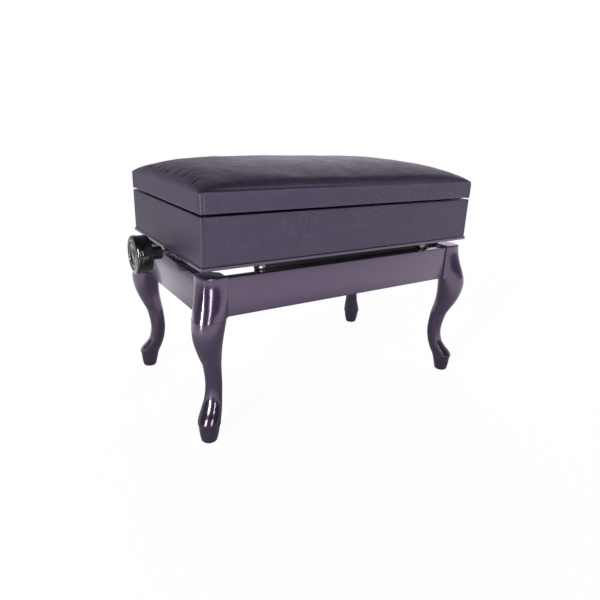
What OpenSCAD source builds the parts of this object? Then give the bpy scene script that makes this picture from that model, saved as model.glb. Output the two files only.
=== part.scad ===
// Adjustable piano bench: padded lid on a shallow storage box, lifted by a screw-driven
// scissor between the aprons of a base with four cabriole legs.
// Millimetres. +X is the sitter's right, +Y the back, +Z up; the origin is on the floor at mid-bench.

/* [Seat] */
// Length of the seat box
seat_w = 650; // [540:1:780]
// Depth of the seat box
seat_d = 390; // [325:1:470]
// Height of the box walls
box_h = 85; // [70:1:120]
// Height of the padded lid's upright band
band_h = 34; // [28:1:44]
// Rise of the cushion above the band
crown_h = 41; // [20:1:55]

/* [Base] */
// Height of the legs
leg_h = 321; // [265:1:390]
// Width of a leg's square top block
leg_w = 45; // [37:1:54]
// Height of the aprons
apron_h = 73; // [60:1:90]
// Thickness of the aprons
apron_t = 18; // [15:1:22]
// How far the aprons stand in from the faces of the seat box
apron_in = 6; // [5:1:8]

/* [Lift] */
// Travel of the seat
lift = 85; // [40:1:105]
// Height between the upper and lower pivots with the seat down
pivot_drop = 30; // [25:1:36]

/* [Knobs] */
// Knob diameter
knob_d = 76; // [60:1:92]
// Knob thickness
knob_t = 32; // [26:1:39]

/* [Lid stays] */
// Length of a stay between its two pins
stay_l = 140; // [115:1:160]

/* [Hidden] */

$fn = 48;
eps = 0.5;         // overshoot of cutters
run = 0.05;        // radial clearance of a running fit
free = 0.4;        // clearance of a loose pivot

// Heights
board_t = 7;
gap_h = 14;        // from the legs' tops to the base board
box_z = leg_h + gap_h + board_t;
box_top = box_z + box_h;
seam = 4;          // between the box and the lid
lid_z = box_top + seam;
band_z = lid_z + band_h;

// Half sizes of the plan
hx = seat_w / 2;
hy = seat_d / 2;
skin = 1.2;        // vinyl
wall_t = 12;       // plywood walls
wall_x = hx - skin;
wall_y = hy - skin;
in_x = wall_x - wall_t;
in_y = wall_y - wall_t;

// Aprons
leg_set = 4;        // the legs stand this far in from the box's faces
apron_drop = 3.5;   // from a leg's top to the aprons' tops
apron_z = leg_h - apron_drop - apron_h;
apron_x = hx - apron_in - apron_t;   // inner faces
apron_y = hy - apron_in - apron_t;

black = [0.14, 0.11, 0.16];
vinyl = [0.22, 0.18, 0.25];
wood = [0.72, 0.58, 0.42];
steel = [0.62, 0.63, 0.66];

// ---------------------------------------------------------------- legs
// A leg's local frame: origin on the floor under the block's centre, s along the outward
// diagonal, t across it. A station is [height, outer s, widest s, inner s, half width in t,
// roundness], where roundness 1 is a diamond (a square block) and 2 an ellipse. The curve is drawn
// curve_h high for a block 45 wide; it is stretched to reach the aprons and scaled to the block.
leg_scale = leg_w / 45;
curve_h = 242.5;
glide_t = 2;        // plastic glide under each foot
half_diag = leg_w / sqrt(2);
leg_stations = [
    [0, 39.5, 24.5, 9.5, 15, 2], [12, 41.5, 24.5, 6.5, 18, 1.95], [30, 43, 22.8, 2, 20.6, 1.9],
    [34, 44.7, 22.8, 0.4, 22.1, 1.85], [40, 44, 22, -1.8, 22, 1.8], [48, 38.5, 17, -6, 21.2, 1.85],
    [60, 28, 9, -11, 19.6, 1.9], [78, 17.3, 0.2, -16.4, 17, 2], [106, 13, -3.8, -19.8, 16, 2],
    [143, 20, 2.2, -16.8, 17, 2], [163, 30, 9, -12.8, 20.2, 2], [182, 40.5, 13.8, -9.4, 23.2, 2],
    [203, 48.3, 16.5, -8, 26.8, 2], [224, 52, 12, -9, 29.3, 2], [curve_h, 49.5, 6, -10.9, 31, 1.95],
];
// The knee carries on up the outer corner of the block: [share of the block's height, outer s, roundness]
knee_stations = [
    [0, 49.5, 1.95], [0.2, 44, 1.9], [0.4, 38, 1.7], [0.6, 33, 1.5], [0.8, 29.5, 1.34], [1, 28, 1.26],
];
leg_sides = 32;
chamfer_s = -half_diag * 0.68;   // the inner corner is cut flat for the corner block

// Smooth curve through the stations (Catmull-Rom), a value for each column
function spline(a, b, c, d, f) =
    b + f * (c - a) / 2 + f * f * (a - 2.5 * b + 2 * c - 0.5 * d) + f * f * f * (1.5 * (b - c) + (d - a) / 2);
function rings(st, steps) = [
    for (i = [0 : len(st) - 2])
        for (j = [0 : steps - 1])
            spline(st[max(i - 1, 0)], st[i], st[i + 1], st[min(i + 2, len(st) - 1)], j / steps),
    st[len(st) - 1],
];
function pow_sign(v, p) = sign(v) * pow(abs(v), p);
// One ring about a centre: half axes for the outer and inner sides
function ring(z, centre, out, in, half, p_out, p_in) = [
    for (i = [0 : leg_sides - 1])
        let (a = 360 * i / leg_sides, c = cos(a), q = 2 / (c >= 0 ? p_out : p_in))
            [centre + (c >= 0 ? out : in) * pow_sign(c, q), half * pow_sign(sin(a), q), z],
];
function turned(pts) = [
    for (p = pts) [(p[0] - p[1]) / sqrt(2), (p[0] + p[1]) / sqrt(2), p[2]],
];
lower_rings = [
    for (r = rings(leg_stations, 3))
        let (z = glide_t + r[0] * (apron_z - glide_t) / curve_h, c = r[2] * leg_scale)
            ring(z, c, r[1] * leg_scale - c, c - r[3] * leg_scale, r[4] * leg_scale, r[5], r[5]),
];
block_rings = [
    for (r = rings(knee_stations, 3))
        let (z = apron_z + r[0] * (apron_h + apron_drop))
            [
                for (p = ring(z, 0, r[1] * leg_scale, half_diag, half_diag, r[2], 1))
                    [max(p[0], chamfer_s), p[1], p[2]],
            ],
];
leg_rings = concat(lower_rings, block_rings);
foot_s = 24.5 * leg_scale;        // centre of the foot on the diagonal

// Closed skin over a stack of rings of equal count
module stack(list, n) {
    last = len(list) - 1;
    polyhedron(
        points = [for (r = list) for (p = turned(r)) p],
        faces = concat(
            [[for (i = [0 : n - 1]) i]],
            [for (j = [0 : last - 1], i = [0 : n - 1], h = [0, 1])
                let (b = j * n, m = (i + 1) % n)
                    h == 0 ? [b + i, b + n + i, b + m] : [b + m, b + n + i, b + n + m]],
            [[for (i = [n - 1 : -1 : 0]) last * n + i]]
        )
    );
}

bolt_z = apron_z + apron_h / 2;
bolt_r = 4;
module at_corner(sx, sy) {
    mirror([sx < 0 ? 1 : 0, 0, 0])
        mirror([0, sy < 0 ? 1 : 0, 0])
            translate([hx - leg_w / 2 - leg_set, hy - leg_w / 2 - leg_set, 0]) children();
}
// A cylinder along the diagonal from s0 to s1 at the bolt's height
module along_diagonal(s0, s1, r) {
    rotate([0, 0, 45])
        translate([s0, 0, bolt_z])
            rotate([0, 90, 0]) cylinder(h = s1 - s0, r = r);
}
bolt_end = 12;      // the bolt's tip in the block, along the diagonal
module leg(sx, sy) {
    color(black)
        at_corner(sx, sy)
            difference() {
                stack(leg_rings, leg_sides);
                along_diagonal(chamfer_s - 5, bolt_end, bolt_r);
            }
}
module leg_front_left() { leg(-1, -1); }
module leg_front_right() { leg(1, -1); }
module leg_rear_left() { leg(-1, 1); }
module leg_rear_right() { leg(1, 1); }

module foot_glides() {
    color([0.1, 0.1, 0.1])
        for (sx = [-1, 1], sy = [-1, 1])
            at_corner(sx, sy)
                rotate([0, 0, 45]) translate([foot_s, 0, 0]) cylinder(h = glide_t, r = 13 * leg_scale);
}

// ---------------------------------------------------------------- aprons and corners
block_face_x = hx - leg_set - leg_w;   // where an apron meets the leg block
block_face_y = hy - leg_set - leg_w;
module apron_long(sy) {
    y0 = sy > 0 ? apron_y : -apron_y - apron_t;
    color(black) translate([-block_face_x, y0, apron_z]) cube([2 * block_face_x, apron_t, apron_h]);
}
module apron_short(sx) {
    x0 = sx > 0 ? apron_x : -apron_x - apron_t;
    color(black) translate([x0, -block_face_y, apron_z]) cube([apron_t, 2 * block_face_y, apron_h]);
}
module apron_front() { apron_long(-1); }
module apron_rear() { apron_long(1); }
module apron_left() { apron_short(-1); }
module apron_right() { apron_short(1); }

corner_t = 19;
corner_h = 50;
corner_s = chamfer_s - corner_t;     // the corner block's inner face
corner_edge = leg_w / 2 + leg_set - apron_in - apron_t;   // the aprons' inner faces in the leg's frame
module corner_blocks() {
    e = corner_edge;
    a = chamfer_s * sqrt(2) - e;
    b = corner_s * sqrt(2) - e;
    color(wood)
        for (sx = [-1, 1], sy = [-1, 1])
            at_corner(sx, sy)
                difference() {
                    translate([0, 0, bolt_z - corner_h / 2])
                        linear_extrude(corner_h) polygon([[e, a], [a, e], [b, e], [e, b]]);
                    along_diagonal(corner_s - 5, chamfer_s + 5, bolt_r);
                }
}
nut_h = 7;
washer_t = 1.5;
bolt_tail = 4.5;    // thread past the nut
module leg_bolts() {
    color(steel)
        for (sx = [-1, 1], sy = [-1, 1])
            at_corner(sx, sy)
                along_diagonal(corner_s - washer_t - nut_h - bolt_tail, bolt_end, bolt_r);
}
module leg_nuts() {
    color(steel)
        for (sx = [-1, 1], sy = [-1, 1])
            at_corner(sx, sy)
                rotate([0, 0, 45])
                    translate([corner_s - nut_h - washer_t, 0, bolt_z])
                        rotate([0, 90, 0])
                            difference() {
                                union() {
                                    cylinder(h = nut_h, r = 7.5, $fn = 6);
                                    translate([0, 0, nut_h]) cylinder(h = washer_t, r = 11);
                                }
                                translate([0, 0, -eps]) cylinder(h = nut_h + 3, r = bolt_r);
                            }
}

// ---------------------------------------------------------------- scissor lift
pin_r = 4;
rail_end = 14;                                 // steel past the outer pivots
rail_clear = 3.5;                              // from the corner blocks to the rails
fixed_in = 26;                                 // the fixed pivots stand this much further in
corner_tip_x = hx - leg_set - leg_w / 2 + corner_s * sqrt(2) - corner_edge;
rail_x1 = corner_tip_x - rail_clear;
slide_x = rail_x1 - rail_end;                  // sliding pins, at the right, with the seat down
pivot_x = fixed_in - slide_x;                  // fixed pivots, at the left
rail_x0 = pivot_x - rail_end;
span = slide_x - pivot_x;
arm_l = sqrt(span * span + pivot_drop * pivot_drop);
up_z = leg_h;                                  // upper pivots
low_z = up_z - pivot_drop;
top_drop = pivot_drop + lift;
slide_run = span - sqrt(arm_l * arm_l - top_drop * top_drop);
arm_w = 20;
arm_t = 4;
plate_t = 3;

// Layers across the depth, measured from mid-bench outwards
head_gap = 2.5;                                // room between the rails for the pins' heads
layer_gap = 1;                                 // between the other layers
low_y = apron_y - plate_t;                     // lower rail plate
up_y = low_y - head_gap - plate_t;             // upper rail plate
arm_a_y = up_y - layer_gap - arm_t;
arm_b_y = arm_a_y - layer_gap - arm_t;

// A cylinder along Y between two distances on the given side
module cross_pin(sy, x, z, y0, y1, r) {
    translate([x, sy > 0 ? y1 : -y0, z]) rotate([90, 0, 0]) cylinder(h = y1 - y0, r = r);
}
// A plate standing across Y, from a 2D outline in X and Z
module upright(sy, y0, t) {
    translate([0, sy > 0 ? y0 + t : -y0, 0]) rotate([90, 0, 0]) linear_extrude(t) children();
}
module slot(x0, x1, z, r) {
    hull_len = x1 - x0;
    translate([x0, z]) circle(r);
    translate([x1, z]) circle(r);
    translate([x0, z - r]) square([hull_len, 2 * r]);
}
slot_spare = 3;      // of the slots past the pins' travel, at each end
screw_in = 40;       // rail screws from the pivots, clear of the slots
rail_screw_x = [pivot_x + screw_in, (pivot_x + slide_x) / 2, slide_x - slide_run - screw_in];
rail_screw_z = low_z - 16;
low_under = 26;      // of the lower rails under their pivots
low_over = 12;
up_under = 13;       // of the upper rails under theirs
wood_screw_r = 2;
wood_head_r = 4;
wood_head_t = 1.5;
module rail_low(sy) {
    color(steel)
        difference() {
            upright(sy, low_y, plate_t)
                difference() {
                    translate([rail_x0, low_z - low_under]) square([rail_x1 - rail_x0, low_under + low_over]);
                    translate([pivot_x, low_z]) circle(pin_r);
                    slot(slide_x - slide_run - slot_spare, slide_x + slot_spare, low_z, pin_r + free);
                }
            for (x = rail_screw_x)
                cross_pin(sy, x, rail_screw_z, low_y - eps, low_y + plate_t + eps, wood_screw_r);
        }
}
module rail_low_front() { rail_low(-1); }
module rail_low_rear() { rail_low(1); }
module rail_low_screws() {
    color(steel)
        for (sy = [-1, 1], x = rail_screw_x) {
            cross_pin(sy, x, rail_screw_z, low_y, low_y + plate_t, wood_screw_r);
            cross_pin(sy, x, rail_screw_z, low_y - wood_head_t, low_y, wood_head_r);
        }
}
rail_top = box_z - board_t;
flange_w = 12;
flange_t = 2;
flange_screw_y = up_y - 4;
module rail_up(sy) {
    y0 = sy > 0 ? up_y + plate_t - flange_w : -up_y - plate_t;
    color(steel) {
        upright(sy, up_y, plate_t)
            difference() {
                translate([rail_x0, up_z - up_under]) square([rail_x1 - rail_x0, rail_top - up_z + up_under]);
                translate([pivot_x, up_z]) circle(pin_r);
                slot(slide_x - slide_run - slot_spare, slide_x + slot_spare, up_z, pin_r + free);
            }
        difference() {
            translate([rail_x0, y0, rail_top - flange_t]) cube([rail_x1 - rail_x0, flange_w, flange_t]);
            for (x = rail_screw_x)
                translate([x, sy * flange_screw_y, rail_top - flange_t - eps])
                    cylinder(h = flange_t + 2 * eps, r = wood_screw_r);
        }
    }
}
module rail_up_front() { rail_up(-1); }
module rail_up_rear() { rail_up(1); }
module rail_up_screws() {
    color(steel)
        for (sy = [-1, 1], x = rail_screw_x)
            translate([x, sy * flange_screw_y, rail_top - flange_t]) {
                cylinder(h = flange_t, r = wood_screw_r);
                translate([0, 0, -wood_head_t]) cylinder(h = wood_head_t, r = wood_head_r);
            }
}

// An arm between two pivots, with its three holes: start, middle, end
module arm(sy, y0, z0, z1, r0, rm, r1) {
    tilt = atan2(z1 - z0, span);
    color(steel)
        upright(sy, y0, arm_t)
            translate([pivot_x, z0])
                rotate(tilt)
                    difference() {
                        slot(0, arm_l, 0, arm_w / 2);
                        circle(r0);
                        translate([arm_l / 2, 0]) circle(rm);
                        translate([arm_l, 0]) circle(r1);
                    }
}
module arm_a(sy) { arm(sy, arm_a_y, low_z, up_z, pin_r, pin_r, pin_r); }
module arm_b(sy) { arm(sy, arm_b_y, up_z, low_z, pin_r, pin_r + free, pin_r); }
module arm_a_front() { arm_a(-1); }
module arm_a_rear() { arm_a(1); }
module arm_b_front() { arm_b(-1); }
module arm_b_rear() { arm_b(1); }

mid_x = pivot_x + span / 2;
mid_z = (up_z + low_z) / 2;
ear_t = 5;
ear_half = 13;
ear_y = arm_b_y - layer_gap - ear_t;           // ears of the drive bar
pin_head_r = pin_r + 3;
pin_head_t = 2;
step_y = 0.2;                                  // a journal starts this far before its rail
module pins_a() {
    color(steel)
        for (sy = [-1, 1]) {
            cross_pin(sy, pivot_x, low_z, arm_a_y, low_y - step_y, pin_r);
            cross_pin(sy, pivot_x, low_z, low_y - step_y, low_y + plate_t, pin_r - run);
            cross_pin(sy, mid_x, mid_z, arm_b_y, arm_a_y + arm_t, pin_r);
            cross_pin(sy, slide_x, up_z, ear_y, up_y + plate_t, pin_r);
            cross_pin(sy, slide_x, up_z, up_y + plate_t, up_y + plate_t + pin_head_t, pin_head_r);
        }
}
module pins_b() {
    color(steel)
        for (sy = [-1, 1]) {
            cross_pin(sy, pivot_x, up_z, arm_b_y, up_y - step_y, pin_r);
            cross_pin(sy, pivot_x, up_z, up_y - step_y, up_y + plate_t, pin_r - run);
            cross_pin(sy, pivot_x, up_z, up_y + plate_t, up_y + plate_t + pin_head_t, pin_head_r);
            cross_pin(sy, slide_x, low_z, arm_b_y, low_y + plate_t - step_y, pin_r);
        }
}

// ---------------------------------------------------------------- drive bar, screw and knobs
screw_z = up_z + 6;
screw_r = 5;
slack_x = 1.8;      // play of the drive bar's ears along the bench
bar_w = 12;
bar_z0 = up_z - 9;
bar_z1 = rail_top - 1.5;
module drive_bar() {
    color(steel) {
        difference() {
            translate([slide_x - bar_w / 2, -ear_y, bar_z0]) cube([bar_w, 2 * ear_y, bar_z1 - bar_z0]);
            translate([slide_x - bar_w, 0, screw_z])
                rotate([0, 90, 0]) cylinder(h = 2 * bar_w, r = screw_r + run);
        }
        for (sy = [-1, 1])
            upright(sy, ear_y, ear_t)
                difference() {
                    translate([slide_x - ear_half, bar_z0]) square([2 * ear_half, bar_z1 - bar_z0]);
                    slot(slide_x - slack_x, slide_x + slack_x, up_z, pin_r + free);
                }
    }
}
knob_gap = 30;      // from the box's end to the knob
knob_x = hx + knob_gap;
module x_rod(x0, x1, r) {
    translate([x0, 0, screw_z]) rotate([0, 90, 0]) cylinder(h = x1 - x0, r = r);
}
module lead_screw() {
    color(steel) x_rod(-knob_x - shank_in, knob_x + shank_in, screw_r);
}
shank_in = 16;      // of the screw inside each knob
bearing_in = 18;    // from the end aprons to the bearings
bearing_x = apron_x - bearing_in;
bearing_t = 5;
bearing_half = 14;
bearing_under = 9;
tab_w = 5;
tab_l = 16;
tab_t = 1.5;
module screw_bearings() {
    color(steel)
        for (sx = [-1, 1])
            mirror([sx < 0 ? 1 : 0, 0, 0])
                difference() {
                    union() {
                        translate([bearing_x, -bearing_half, screw_z - bearing_under])
                            cube([bearing_t, 2 * bearing_half, rail_top - screw_z + bearing_under]);
                        for (y = [-bearing_half, bearing_half - tab_w])
                            translate([bearing_x - tab_l, y, rail_top - tab_t]) cube([tab_l, tab_w, tab_t]);
                    }
                    translate([bearing_x - eps, 0, screw_z])
                        rotate([0, 90, 0]) cylinder(h = bearing_t + 1, r = screw_r + run);
                }
}
collar_t = 7;
collar_r = 7.5;
collar_play = 0.3;
module screw_collars() {
    color(steel)
        for (x = [-bearing_x - bearing_t - collar_t - collar_play, -bearing_x + collar_play])
            translate([x, 0, screw_z])
                rotate([0, 90, 0])
                    difference() {
                        cylinder(h = collar_t, r = collar_r);
                        translate([0, 0, -eps]) cylinder(h = collar_t + 1, r = screw_r);
                    }
}
knob_r = knob_d / 2;
rim_t = 9;          // thickness of the plain rim at a knob's face
dish_r = knob_r - 19.5;
groove_r = knob_r - 12;
face_cut = 3;       // depth of the dished centre
hub_r = 13;
hub_l = knob_gap - 6;
round_r = 5;
// The turned body of a knob, from its hub (x = 0) to its face
module knob_body() {
    rotate([0, 90, 0])
        rotate_extrude($fn = 96)
            difference() {
                union() {
                    translate([0, -hub_l]) square([hub_r, hub_l]);
                    square([knob_r - round_r, knob_t - rim_t]);
                    translate([0, round_r]) square([knob_r - 1, knob_t - rim_t - round_r]);
                    translate([knob_r - 1 - round_r, round_r])
                        intersection() {
                            circle(round_r);
                            translate([-round_r, -round_r]) square([2 * round_r, round_r]);
                        }
                    translate([0, knob_t - rim_t]) square([knob_r - 3, rim_t]);
                    translate([0, knob_t - rim_t]) square([knob_r, rim_t - 3]);
                    translate([knob_r - 3, knob_t - 3]) circle(3);
                }
                // ring groove and dished centre of the face
                translate([groove_r, knob_t - 2]) square([3, 3]);
                translate([-1, knob_t - face_cut]) square([dish_r + 1, face_cut + 1]);
                // bore
                translate([-1, -hub_l - 1]) square([screw_r + 1, hub_l + 1 + shank_in]);
            }
}
module knob(sx) {
    color([0.07, 0.08, 0.08])
        mirror([sx < 0 ? 1 : 0, 0, 0])
            translate([knob_x, 0, screw_z]) knob_body();
}
module knob_left() { knob(-1); }
module knob_right() { knob(1); }

// ---------------------------------------------------------------- seat box
module base_board() {
    edge = 2;
    color([0.08, 0.07, 0.09])
        translate([-hx - edge, -hy - edge, box_z - board_t])
            cube([seat_w + 2 * edge, seat_d + 2 * edge, board_t]);
}
module wall_long(sy) {
    y0 = sy > 0 ? in_y : -wall_y;
    color(wood) translate([-wall_x, y0, box_z]) cube([2 * wall_x, wall_t, box_h - skin]);
}
module wall_short(sx) {
    x0 = sx > 0 ? in_x : -wall_x;
    color(wood) translate([x0, -in_y, box_z]) cube([wall_t, 2 * in_y, box_h - skin]);
}
module box_front() { wall_long(-1); }
module box_rear() { wall_long(1); }
module box_left() { wall_short(-1); }
module box_right() { wall_short(1); }

module rounded_plan(x, y, r) {
    translate([-x + r, -y]) square([2 * (x - r), 2 * y]);
    translate([-x, -y + r]) square([2 * x, 2 * (y - r)]);
    for (sx = [-1, 1], sy = [-1, 1]) translate([sx * (x - r), sy * (y - r)]) circle(r);
}
// The vinyl wraps the outside of the walls and folds over their top edge
module box_cover() {
    color(vinyl)
        difference() {
            translate([0, 0, box_z]) linear_extrude(box_h) rounded_plan(hx, hy, skin);
            translate([-wall_x, -wall_y, box_z - eps]) cube([2 * wall_x, 2 * wall_y, box_h - skin + eps]);
            translate([-in_x, -in_y, box_z - eps]) cube([2 * in_x, 2 * in_y, box_h + 1]);
        }
}
liner_t = 2;
module box_liner() {
    color([0.12, 0.12, 0.13]) translate([-in_x, -in_y, box_z]) cube([2 * in_x, 2 * in_y, liner_t]);
}

// ---------------------------------------------------------------- piano hinge
hinge_r = 3;
hinge_y = hy + hinge_r + 0.3;
hinge_z = box_top + seam / 2;
leaf_t = 1.2;
leaf_w = 20;
hinge_half = hx - 32.5;              // the leaves stop short of the box's ends
knuckle_n = 2 * floor(hinge_half / 28) + 1;
knuckle_w = 2 * hinge_half / knuckle_n;
knuckle_gap = 0.15;
hinge_screw_end = 22.5;              // from a leaf's end to its last screw
hinge_screw_x = [for (i = [-4 : 4]) i * (hinge_half - hinge_screw_end) / 4];
hinge_screw_y = hinge_y - 13;
hinge_screw_r = 1.75;
// Knuckles of one leaf: parity 0 for the lower leaf, 1 for the upper
module leaf(z, parity, bore) {
    inner = hinge_y - leaf_w;
    difference() {
        union() {
            translate([-hinge_half, inner, z]) cube([2 * hinge_half, hy - inner - 0.5, leaf_t]);
            for (i = [parity : 2 : knuckle_n - 1])
                translate([-hinge_half + i * knuckle_w + knuckle_gap, 0, 0]) {
                    translate([0, hinge_y, hinge_z])
                        rotate([0, 90, 0]) cylinder(h = knuckle_w - 2 * knuckle_gap, r = hinge_r);
                    translate([0, hy - 1, z]) cube([knuckle_w - 2 * knuckle_gap, hinge_r + 1.3, leaf_t]);
                }
        }
        translate([-hinge_half - 1, hinge_y, hinge_z])
            rotate([0, 90, 0]) cylinder(h = 2 * hinge_half + 2, r = bore);
        for (x = hinge_screw_x)
            translate([x, hinge_screw_y, z - eps]) cylinder(h = leaf_t + 2 * eps, r = hinge_screw_r);
    }
}
hinge_pin_r = 1.5;
module hinge_lower() { color(steel) leaf(box_top, 0, hinge_pin_r); }
module hinge_upper() { color(steel) leaf(lid_z - leaf_t, 1, hinge_pin_r + run); }
module hinge_pin() {
    color(steel)
        translate([-hinge_half, hinge_y, hinge_z])
            rotate([0, 90, 0]) cylinder(h = 2 * hinge_half, r = hinge_pin_r);
}
// Countersunk heads sit flush in the leaves
module hinge_screws(z) {
    color(steel)
        for (x = hinge_screw_x) translate([x, hinge_screw_y, z]) cylinder(h = leaf_t, r = hinge_screw_r);
}
module hinge_lower_screws() { hinge_screws(box_top); }
module hinge_upper_screws() { hinge_screws(lid_z - leaf_t); }

// ---------------------------------------------------------------- lid
module lid_ring(z, h, x, y, w) {
    translate([0, 0, z])
        linear_extrude(h)
            difference() {
                rounded_plan(x, y, skin);
                square([2 * (x - w), 2 * (y - w)], center = true);
            }
}
hem_w = 20;         // vinyl turned under the lid
rail_w = 20;
lid_board_t = 12;
lid_board_z = lid_z + skin;
tray_z = lid_board_z + lid_board_t;
cover_top = band_z - 2;
module lid_cover() {
    color(vinyl) {
        lid_ring(lid_z, skin, hx, hy, hem_w);
        lid_ring(lid_z, cover_top - lid_z, hx, hy, skin);
    }
}
module dust_cloth() {
    color([0.1, 0.1, 0.1])
        translate([-hx + hem_w, -hy + hem_w, lid_z])
            cube([seat_w - 2 * hem_w, seat_d - 2 * hem_w, skin]);
}
module lid_board() {
    color(wood) translate([-wall_x, -wall_y, lid_board_z]) cube([2 * wall_x, 2 * wall_y, lid_board_t]);
}
module lid_rail_long(sy) {
    y0 = sy > 0 ? wall_y - rail_w : -wall_y;
    color(wood) translate([-wall_x, y0, tray_z]) cube([2 * wall_x, rail_w, cover_top - tray_z]);
}
module lid_rail_short(sx) {
    x0 = sx > 0 ? wall_x - rail_w : -wall_x;
    color(wood)
        translate([x0, -wall_y + rail_w, tray_z]) cube([rail_w, 2 * (wall_y - rail_w), cover_top - tray_z]);
}
module lid_rail_front() { lid_rail_long(-1); }
module lid_rail_rear() { lid_rail_long(1); }
module lid_rail_left() { lid_rail_short(-1); }
module lid_rail_right() { lid_rail_short(1); }
module foam_pad() {
    color([0.9, 0.86, 0.6])
        translate([-wall_x + rail_w, -wall_y + rail_w, tray_z])
            cube([2 * (wall_x - rail_w), 2 * (wall_y - rail_w), cover_top - tray_z]);
}
// The crowned cushion: steep at its edges and almost flat on top
crown_nx = 28;
crown_ny = 20;
function edge_fall(u, p, q) = pow(max(0, 1 - pow(abs(u), p)), q);
function crown(u, v) = band_z + crown_h * edge_fall(u, 5, 0.45) * edge_fall(v, 2.4, 0.42);
function spread(i, n) = sin(180 * i / n - 90);
crown_points = concat(
    [for (j = [0 : crown_ny], i = [0 : crown_nx])
        let (u = spread(i, crown_nx), v = spread(j, crown_ny)) [u * hx, v * hy, crown(u, v)]],
    [[-hx, -hy, cover_top], [hx, -hy, cover_top], [hx, hy, cover_top], [-hx, hy, cover_top]]
);
module cushion() {
    nx = crown_nx + 1;
    b = nx * (crown_ny + 1);
    last = crown_ny * nx;
    color(vinyl)
        polyhedron(
            points = crown_points,
            faces = concat(
                [for (j = [0 : crown_ny - 1], i = [0 : crown_nx - 1], h = [0, 1])
                    let (a = j * nx + i)
                        h == 0 ? [a, a + nx, a + 1] : [a + 1, a + nx, a + nx + 1]],
                [[b, b + 1, b + 2, b + 3]],
                [concat([b + 1, b], [for (i = [0 : crown_nx]) i])],
                [concat([b + 3, b + 2], [for (i = [crown_nx : -1 : 0]) last + i])],
                [concat([b, b + 3], [for (j = [crown_ny : -1 : 0]) j * nx])],
                [concat([b + 2, b + 1], [for (j = [0 : crown_ny]) j * nx + crown_nx])]
            )
        );
}

// ---------------------------------------------------------------- lid stays
// The arm's pivot on the lid and its pin in the track are the same distance from each other
// as the pivot is from the hinge, and the track's line runs through the hinge, so the arm
// turns exactly twice as fast as the lid, the other way.
pivot_below = 12;                // of the lid pivot under the hinge axis
track_end = 9;                   // of the tracks past the pins' travel
track_half = 7;
track_floor = 3;                 // between the tracks' low ends and the liner
track_fall = hinge_z - box_z - liner_t - track_floor - track_half;
track_slope = asin(track_fall / (2 * stay_l + track_end));
stay_pin_r = 2.5;
pivot_dip = asin(pivot_below / stay_l);
stay_pivot = [hinge_y - stay_l * cos(pivot_dip), hinge_z - pivot_below];
reach_shut = 2 * stay_l * cos(track_slope - pivot_dip);
reach_open = 50;
function on_track(d) = [hinge_y - d * cos(track_slope), hinge_z - d * sin(track_slope)];
stay_pin = on_track(reach_shut);
// Layers inward from the box's side wall
boss_x = in_x - 2.5;
track_x = boss_x - 2;
stay_x = track_x - 3;
ear_x = stay_x - 2.5;
// A plate standing across X on the +X side, from a 2D outline in Y and Z
module side_plate(x, t) {
    translate([x, 0, 0]) rotate([90, 0, 90]) linear_extrude(t) children();
}
module link(p, q, r) {
    a = atan2(q[1] - p[1], q[0] - p[0]);
    translate(p) rotate(a) slot(0, norm(q - p), 0, r);
}
module side_of(sx) {
    mirror([sx < 0 ? 1 : 0, 0, 0]) children();
}
module stay_track(sx) {
    far = on_track(reach_shut + track_end);
    near = on_track(reach_open - track_end);
    color(steel)
        side_of(sx) {
            side_plate(track_x, 2)
                difference() {
                    link(near, far, track_half);
                    link(on_track(reach_open), stay_pin, stay_pin_r + 0.3);
                }
            for (p = [near, far])
                translate([boss_x, p[0], p[1]]) rotate([0, 90, 0]) cylinder(h = in_x - boss_x, r = 4);
        }
}
module stay_arm(sx) {
    color(steel)
        side_of(sx) {
            side_plate(stay_x, 2) link(stay_pivot, stay_pin, 6);
            translate([stay_x, stay_pin[0], stay_pin[1]])
                rotate([0, 90, 0]) cylinder(h = boss_x + 1.5 - stay_x, r = stay_pin_r);
            translate([boss_x + 0.2, stay_pin[0], stay_pin[1]]) rotate([0, 90, 0]) cylinder(h = 1.3, r = 4);
            translate([ear_x - 1.5, stay_pivot[0], stay_pivot[1]])
                rotate([0, 90, 0]) cylinder(h = stay_x - ear_x + 1.5, r = stay_pin_r - run);
        }
}
module stay_bracket(sx) {
    foot_w = 30;
    color(steel)
        side_of(sx)
            difference() {
                union() {
                    side_plate(ear_x, 2)
                        union() {
                            translate(stay_pivot) circle(7);
                            translate([stay_pivot[0] - 7, stay_pivot[1]]) square([14, lid_z - stay_pivot[1]]);
                        }
                    translate([ear_x - 14, stay_pivot[0] - foot_w / 2, lid_z - 2]) cube([16, foot_w, 2]);
                }
                translate([ear_x - eps, stay_pivot[0], stay_pivot[1]])
                    rotate([0, 90, 0]) cylinder(h = 3, r = stay_pin_r);
            }
}
module stay_track_left() { stay_track(-1); }
module stay_track_right() { stay_track(1); }
module stay_arm_left() { stay_arm(-1); }
module stay_arm_right() { stay_arm(1); }
module stay_bracket_left() { stay_bracket(-1); }
module stay_bracket_right() { stay_bracket(1); }

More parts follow.
